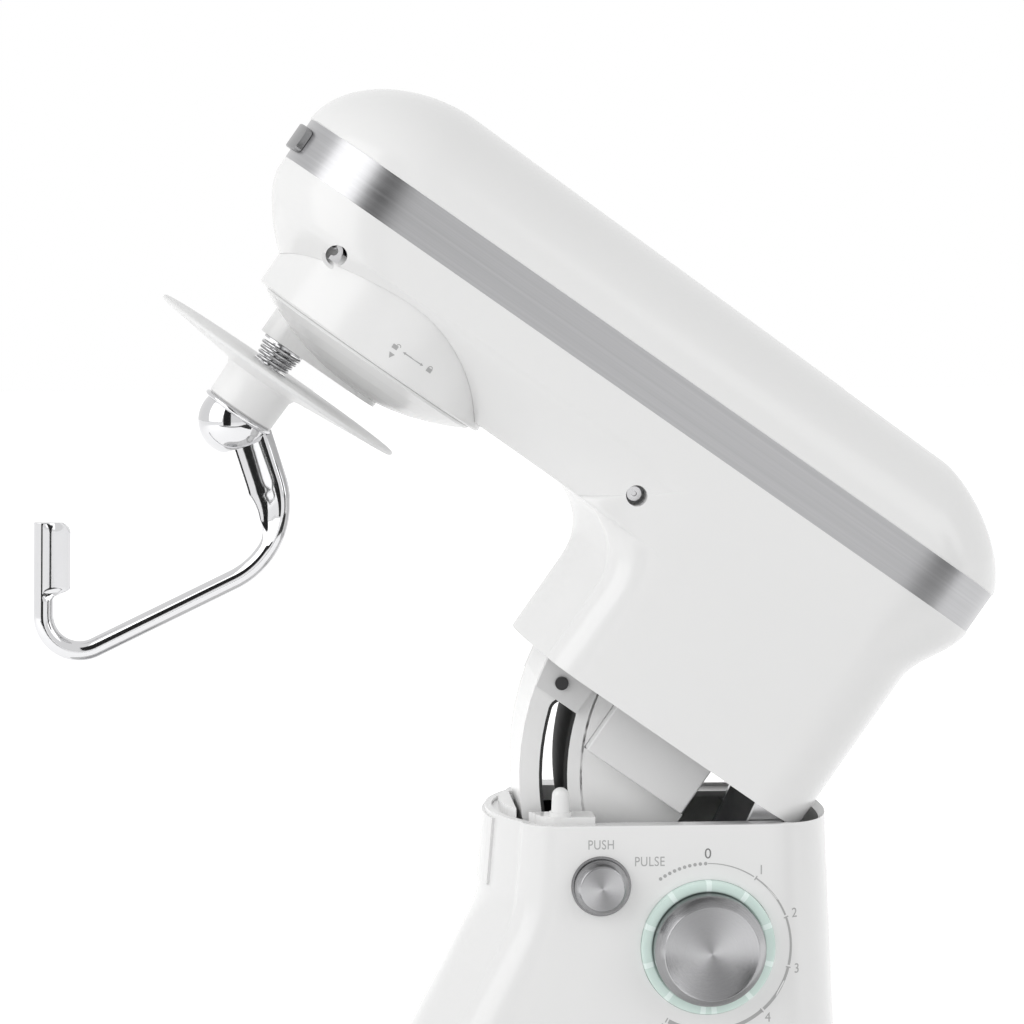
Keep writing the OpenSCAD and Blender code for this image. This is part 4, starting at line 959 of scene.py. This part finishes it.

# %% [markdown]
# ## The controls
# The knob and the button are turned caps with a broad chamfer, brushed in circles, with a painted
# highlight that fans round their middle. The ring round the knob is frosted pale green, with a
# brighter gap between each pair of speeds.

# %% Knob, button and ring
STEP = math.radians(35)
dial_centre = at_hinge((DIAL[0], -70, DIAL[1]))


def cap(name, body, replaced, where, radius, profile):
    """A turned cap: its profile runs from the rim to the face, which closes it at the middle."""
    whole = [(0, -59), (radius, -59)] + profile + [(0, profile[-1][1])]
    piece = soften(turned(name, whole, side_on(*where), 160), 0.3)
    # The caps' metal carries a painted highlight that fans round the axis.
    wear(piece, spun(name + " metal", (0.50, 0.50, 0.51), tuple(at_hinge((where[0], -70, where[1])))))
    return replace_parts(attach(piece, body), replaced)


cap("speed_knob", "dial", "speed_dial", DIAL, DIAL_R,
    [(DIAL_R, -72.6), (DIAL_R - 0.4, -73.4), (DIAL_R - 3.2, -78.4), (DIAL_R - 3.8, -79.0),
     (DIAL_R - 4.4, -78.6)])
cap("button_cap", "button", "push_button", BUTTON, BUTTON_R,
    [(BUTTON_R, -64.4), (BUTTON_R - 0.3, -65.2), (BUTTON_R - 1.9, -68.5), (BUTTON_R - 2.4, -69.0)])

inner_r, outer_r = BUTTON_R + 0.1, BUTTON_R + 1.1
bezel_profile = [(inner_r, -56), (outer_r, -56), (outer_r, -61.9), (inner_r, -61.9), (inner_r, -56)]
bezel = turned("button_bezel", bezel_profile, side_on(*BUTTON), 128)
wear(bezel, metal("dark bezel", (0.22, 0.22, 0.225), rough=0.25))
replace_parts(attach(bezel, "stand"), "push_bezel")

light = Finish("frosted ring", IOR=1.46, Emission_Strength=0.12)
place = light.node("VectorMath", {"operation": "SUBTRACT"}, Vector=light.node("TexCoord", output=3))
place.socket.node.inputs[1].default_value = dial_centre
parts = light.node("SeparateXYZ", Vector=place)
fan = parts.math("ARCTAN2", Value(light.tree, parts.socket.node.outputs[2]))
gap = (fan * (1 / STEP) + 20.5).math("FRACT")
gap = (gap - 0.5).math("ABSOLUTE") < 0.07
cloud = light.noise(90.0, 2.0)
tone = light.blend(0.4 * cloud + 0.6 * gap, (0.55, 0.68, 0.63), (0.80, 0.90, 0.87))
light.set("Base Color", tone).set("Emission Color", tone).set("Roughness", 0.22 + 0.1 * (cloud - 0.5))
ring_profile = [(DIAL_R + 0.5, -58.2), (DIAL_R + 0.5, -64.9), (DIAL_R + 1.0, -65.5), (RING_R - 1.6, -65.9),
                (RING_R - 0.3, -65.4), (RING_R, -64.6), (RING_R, -55), (3.1, -55), (3.1, -58.2),
                (DIAL_R + 0.5, -58.2)]
ring = turned("light_ring", ring_profile, side_on(*DIAL), 160)
wear(ring, light)
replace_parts(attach(ring, "stand"), "dial_light_ring")
print("knob, button and ring done")

# %% [markdown]
# ## Print
# The scale round the knob runs from a row of dots, through 0, to the fastest speed, and its line
# grows thicker on the way. Every flat shape is drawn in millimetres round the knob, then laid on
# the column's side. On the straight part the side lies at half the column's width, and behind it
# that width shrinks as the back rounds over, by the same formula as in the outline. The small lock
# marks are laid round the skirt in the same way.

# %% Print on the column
SCALE_R, NUMBER_R = 37.0, 41.2


def on_column(p):
    """Lays (across, out, up) on the column's near side: `out` is how proud of it a point is."""
    x, z = p[..., 0], p[..., 2]
    depth = -18.0 - z
    back = NECK_BACK - 1 + 0.05 * depth
    s = np.clip((x + 12) / (back + 12), 0, 0.999) ** (1 / 0.9)
    half = (NECK_HALF + 0.05 * depth) * np.sqrt(1 - s * s) ** 0.9
    return at_hinge(np.stack([x, -half - p[..., 1], z], -1))


def patch(name, outline, place, thick=0.07):
    """A thin closed plate with the given outline (across, up), bent onto a surface by `place`."""
    flat = np.asarray(outline, float)
    sides = [np.stack([flat[:, 0], np.full(len(flat), out), flat[:, 1]], -1) for out in (-0.03, thick)]
    return stacked(name, place(np.stack(sides)), caps=True)


def strip(start, end, low, high):
    """Outline of an arc round the knob, from one angle to another, as wide as low and then high."""
    a = np.linspace(start, end, 2 + int(abs(end - start) / 0.04))
    w = np.linspace(low, high, len(a)) / 2
    rim = [np.stack([(SCALE_R + k * w) * np.sin(a), (SCALE_R + k * w) * np.cos(a)], -1) for k in (1, -1)]
    return np.concatenate([rim[0], rim[1][::-1]]) + DIAL


def disc(centre, radius):
    """Outline of a dot."""
    a = np.linspace(0, 2 * np.pi, 20, endpoint=False)
    return np.stack([radius * np.cos(a), radius * np.sin(a)], -1) + centre


def bar(angle, width, inner, outer):
    """Outline of a short radial tick across the scale."""
    side, out = np.array([math.cos(angle), -math.sin(angle)]), np.array([math.sin(angle), math.cos(angle)])
    corners = [(-width, inner), (width, inner), (width, outer), (-width, outer)]
    return np.array([u * side / 2 + v * out for u, v in corners]) + DIAL


def words(name, text, size, centre, place, stretch=0.9):
    """Letters as a mesh, centred on (across, up) and laid on a surface by `place`."""
    curve = bpy.data.curves.new(name, "FONT")
    curve.body, curve.size, curve.extrude = text, size, 0.05
    curve.align_x, curve.align_y, curve.space_character = "CENTER", "CENTER", 1.08
    item = bpy.data.objects.new(name, curve)
    bpy.context.scene.collection.objects.link(item)
    mesh = bpy.data.meshes.new_from_object(item.evaluated_get(bpy.context.evaluated_depsgraph_get()))
    bpy.data.objects.remove(item)
    flat = np.array([v.co[:] for v in mesh.vertices])
    laid = np.stack([centre[0] + stretch * flat[:, 0], flat[:, 2] + 0.02, centre[1] + flat[:, 1]], -1)
    return make_mesh(name, place(laid), [tuple(f.vertices) for f in mesh.polygons])


ink = moulded("grey print", (0.44, 0.44, 0.44), gloss=0.4, tint=0.12)
dark_ink = moulded("dark print", (0.22, 0.22, 0.22), gloss=0.4, tint=0.15)
SPEEDS, GROWTH = 6, 0.28
scale = [patch("arc", strip(STEP * k, STEP * (k + 0.955), 0.35 + GROWTH * k, 0.55 + GROWTH * k), on_column)
         for k in range(SPEEDS)]
scale += [patch("tick", bar(STEP * k, 0.5, SCALE_R - 1.1, SCALE_R + 1.1), on_column)
          for k in range(1, SPEEDS + 1)]
scale += [patch("dot", disc(SCALE_R * np.array([-math.sin(a), math.cos(a)]) + DIAL, 0.78), on_column)
          for a in np.radians(np.linspace(1.6, 34.6, 10))]
for k in range(1, SPEEDS + 1):
    place = (DIAL[0] + NUMBER_R * math.sin(STEP * k), DIAL[1] + NUMBER_R * math.cos(STEP * k))
    scale.append(words("number", str(k), 6.0, place, on_column))
scale += [words("pulse", "PULSE", 6.0, (DIAL[0] - 25.8, DIAL[1] + 38.0), on_column, 0.8),
          words("push", "PUSH", 5.9, (BUTTON[0], BUTTON[1] + 18.1), on_column, 0.8)]
joined("scale_print", scale, ink, "stand")
zero = words("zero", "0", 6.4, (DIAL[0], DIAL[1] + NUMBER_R), on_column, 1.0)
joined("zero_print", [zero], dark_ink, "stand")


def on_skirt(p):
    """Lays (across, out, up) on the skirt's near side, with `across` measured round the ring."""
    a, r = p[..., 0] / SKIRT_R, SKIRT_R + p[..., 1]
    return over_hub(np.stack([r * np.sin(a), -r * np.cos(a), p[..., 2]], -1))


def padlock(x, z, swing):
    """A small lock: a square body under a half hoop, which is swung aside when open."""
    a = np.radians(np.linspace(0, 180, 12))
    rim = [np.stack([r * np.cos(a), r * np.sin(a) + 0.5], -1) for r in (1.1, 0.75)]
    hoop = np.concatenate([rim[0], rim[1][::-1]]) + (x + swing, z)
    body = np.array([(-1.3, -1.4), (1.3, -1.4), (1.3, 0.5), (-1.3, 0.5)]) + (x, z)
    return [patch("body", body, on_skirt), patch("hoop", hoop, on_skirt)]


LOCK_Z, LOCK_OPEN, LOCK_SHUT = 57.6, 3.5, 22.2
POINTER_X, POINTER_TOP, POINTER_TIP = 4.0, 54.2, 51.8
ARROW_Z, ARROW_LEFT, ARROW_RIGHT, ARROW_HEAD, ARROW_HALF = 57.25, 7.6, 18.7, 1.4, 0.65
icons = padlock(LOCK_OPEN, LOCK_Z, 1.2) + padlock(LOCK_SHUT, LOCK_Z, 0.0)
pointer = [(POINTER_X - 1.4, POINTER_TOP), (POINTER_X + 1.4, POINTER_TOP), (POINTER_X, POINTER_TIP)]
run_x = np.linspace(ARROW_LEFT + 0.9, ARROW_RIGHT - 0.9, 12)
shaft = [(x, ARROW_Z - 0.25) for x in run_x] + [(x, ARROW_Z + 0.25) for x in run_x[::-1]]
icons += [patch("pointer", pointer, on_skirt), patch("line", shaft, on_skirt)]
for tip, way in ((ARROW_LEFT, 1), (ARROW_RIGHT, -1)):
    back = tip + way * ARROW_HEAD
    head = [(tip, ARROW_Z), (back, ARROW_Z - way * ARROW_HALF), (back, ARROW_Z + way * ARROW_HALF)]
    icons.append(patch("head", head, on_skirt))
joined("lock_marks", icons, ink, "head")
print("print:", len(scale) + 1 + len(icons), "marks")

# %% [markdown]
# ## Finishes of the carried-over pieces
# Everything that the model already shapes well keeps its shape and only gets a finish.

# %% Finishes
carried = {
    white: "column_tray guide_post tilt_arm front_trim planet_carrier",
    # Painted shade: the arm bracket gets the darker grey copy of the white moulding.
    painted_shade_grey: "arm_bracket",
    black: "speed_switch latch_guides ring_gear motor_fan motor_brushes cord_inlet arm_screws",
    rubber: "feet drive_belt base_cover slot_liner",
    nylon: "drive_gear idler_pulley",
    board_green: "control_board",
    cast_metal: "gear_bridge motor_end_bells",
    chrome: "bowl_seat",
    turned_metal: "beater_shaft cross_pin carrier_shaft hinge_pin dial_shaft latch_bar motor_pulley "
                  "idler_gear planet_pinion shaft_bearings",
    lamination: "motor_stator",
    copper: "armature",
    wire_metal: "base_screws hinge_bracket",
}
for finish, names in carried.items():
    for name in names.split():
        wear(name, finish)
print(sum(len(names.split()) for names in carried.values()) + 1, "carried-over pieces dressed")

# %% [markdown]
# ## Stage
# A pale floor and an even white surround, as in a product studio, with two wide lamps. White
# plastic would show nothing of it, but polished metal needs something dark to mirror, so a few
# dark cards stand round the mixer.

# %% Stage, light and camera
def stage_plane(name, corners, finish):
    """A flat piece of the studio, which isn't part of the mixer."""
    plane = make_mesh(name, corners, [(0, 1, 2, 3)])
    plane.data.materials.append(finish.material)
    return plane


def seen_rays(tree):
    """1 for what the camera, a mirror or a glass sees, and 0 for the light that falls on things."""
    ray = tree.nodes.new("ShaderNodeLightPath")
    seen = Value(tree, ray.outputs["Is Camera Ray"])
    for other in ("Is Glossy Ray", "Is Transmission Ray"):
        seen = seen.math("MAXIMUM", Value(tree, ray.outputs[other]))
    return seen


paper = moulded("floor paper", (0.88, 0.88, 0.88), gloss=0.8)
paper.set("Emission Color", paper.blend(seen_rays(paper.tree), (0.0, 0.0, 0.0), (0.6, 0.6, 0.6)))
paper.set("Emission Strength", 1.0)
stage_plane("floor", [(-6, -6, 0), (6, -6, 0), (6, 6, 0), (-6, 6, 0)], paper)

world = bpy.data.worlds.new("studio")
bpy.context.scene.world = world
world.use_nodes = True
mixer = world.node_tree.nodes.new("ShaderNodeMix")
mixer.data_type = "RGBA"
world.node_tree.links.new(seen_rays(world.node_tree).socket, mixer.inputs[0])
mixer.inputs[6].default_value = (0.66, 0.66, 0.66, 1)
mixer.inputs[7].default_value = (1, 1, 1, 1)
world.node_tree.links.new(mixer.outputs[2], world.node_tree.nodes["Background"].inputs["Color"])

dark = moulded("dark card", (0.01, 0.01, 0.01), gloss=0.9)


def card(name, centre, across, up):
    """A dark card that only mirrors see: it gives polished metal its dark streaks."""
    c, u, v = (np.array(k, float) for k in (centre, across, up))
    plane = stage_plane(name, [c - u - v, c + u - v, c + u + v, c - u + v], dark)
    for ray in ("camera", "diffuse", "transmission", "shadow"):
        setattr(plane, "visible_" + ray, False)


card("left_card", (-0.56, -1.3, 0.75), (0.3, -0.1, 0), (0.0, 0.0, 0.9))
card("right_card", (1.3, -1.1, 0.4), (0.14, 0.16, 0), (0, 0, 0.4))
card("low_card", (-0.3, -0.9, 0.06), (0.7, 0, 0), (0, 0.14, 0.02))
card("floor_card", (0.9, -0.9, 0.004), (0.45, -0.15, 0), (0.15, 0.45, 0))


def lamp(name, place, aim, size, watts):
    data = bpy.data.lights.new(name, "AREA")
    data.size = size
    data.energy = watts
    item = bpy.data.objects.new(name, data)
    item.location = place
    bpy.context.scene.collection.objects.link(item)
    look(item, aim)
    return item


def look(item, aim):
    item.rotation_euler = (Vector(aim) - item.location).to_track_quat("-Z", "Y").to_euler()


lamp("key", (-1.35, -0.7, 1.0), (0, 0, 0.3), 1.5, 12)
lamp("fill", (1.3, -1.0, 0.9), (0, 0, 0.3), 1.2, 5)

target = hinge + np.array([-120.86, 0, 115.44]) * MM
turn, rise = math.radians(4.2), math.radians(5.2)
away = np.array([math.sin(turn) * math.cos(rise), math.cos(turn) * math.cos(rise), -math.sin(rise)])
camera_data = bpy.data.cameras.new("camera")
camera_data.lens = 140.6
camera_data.sensor_width = 36
camera = bpy.data.objects.new("camera", camera_data)
camera.location = target - 1.8018 * away
bpy.context.scene.collection.objects.link(camera)
look(camera, tuple(target))
bpy.context.scene.camera = camera
bpy.context.scene.view_settings.view_transform = "Standard"
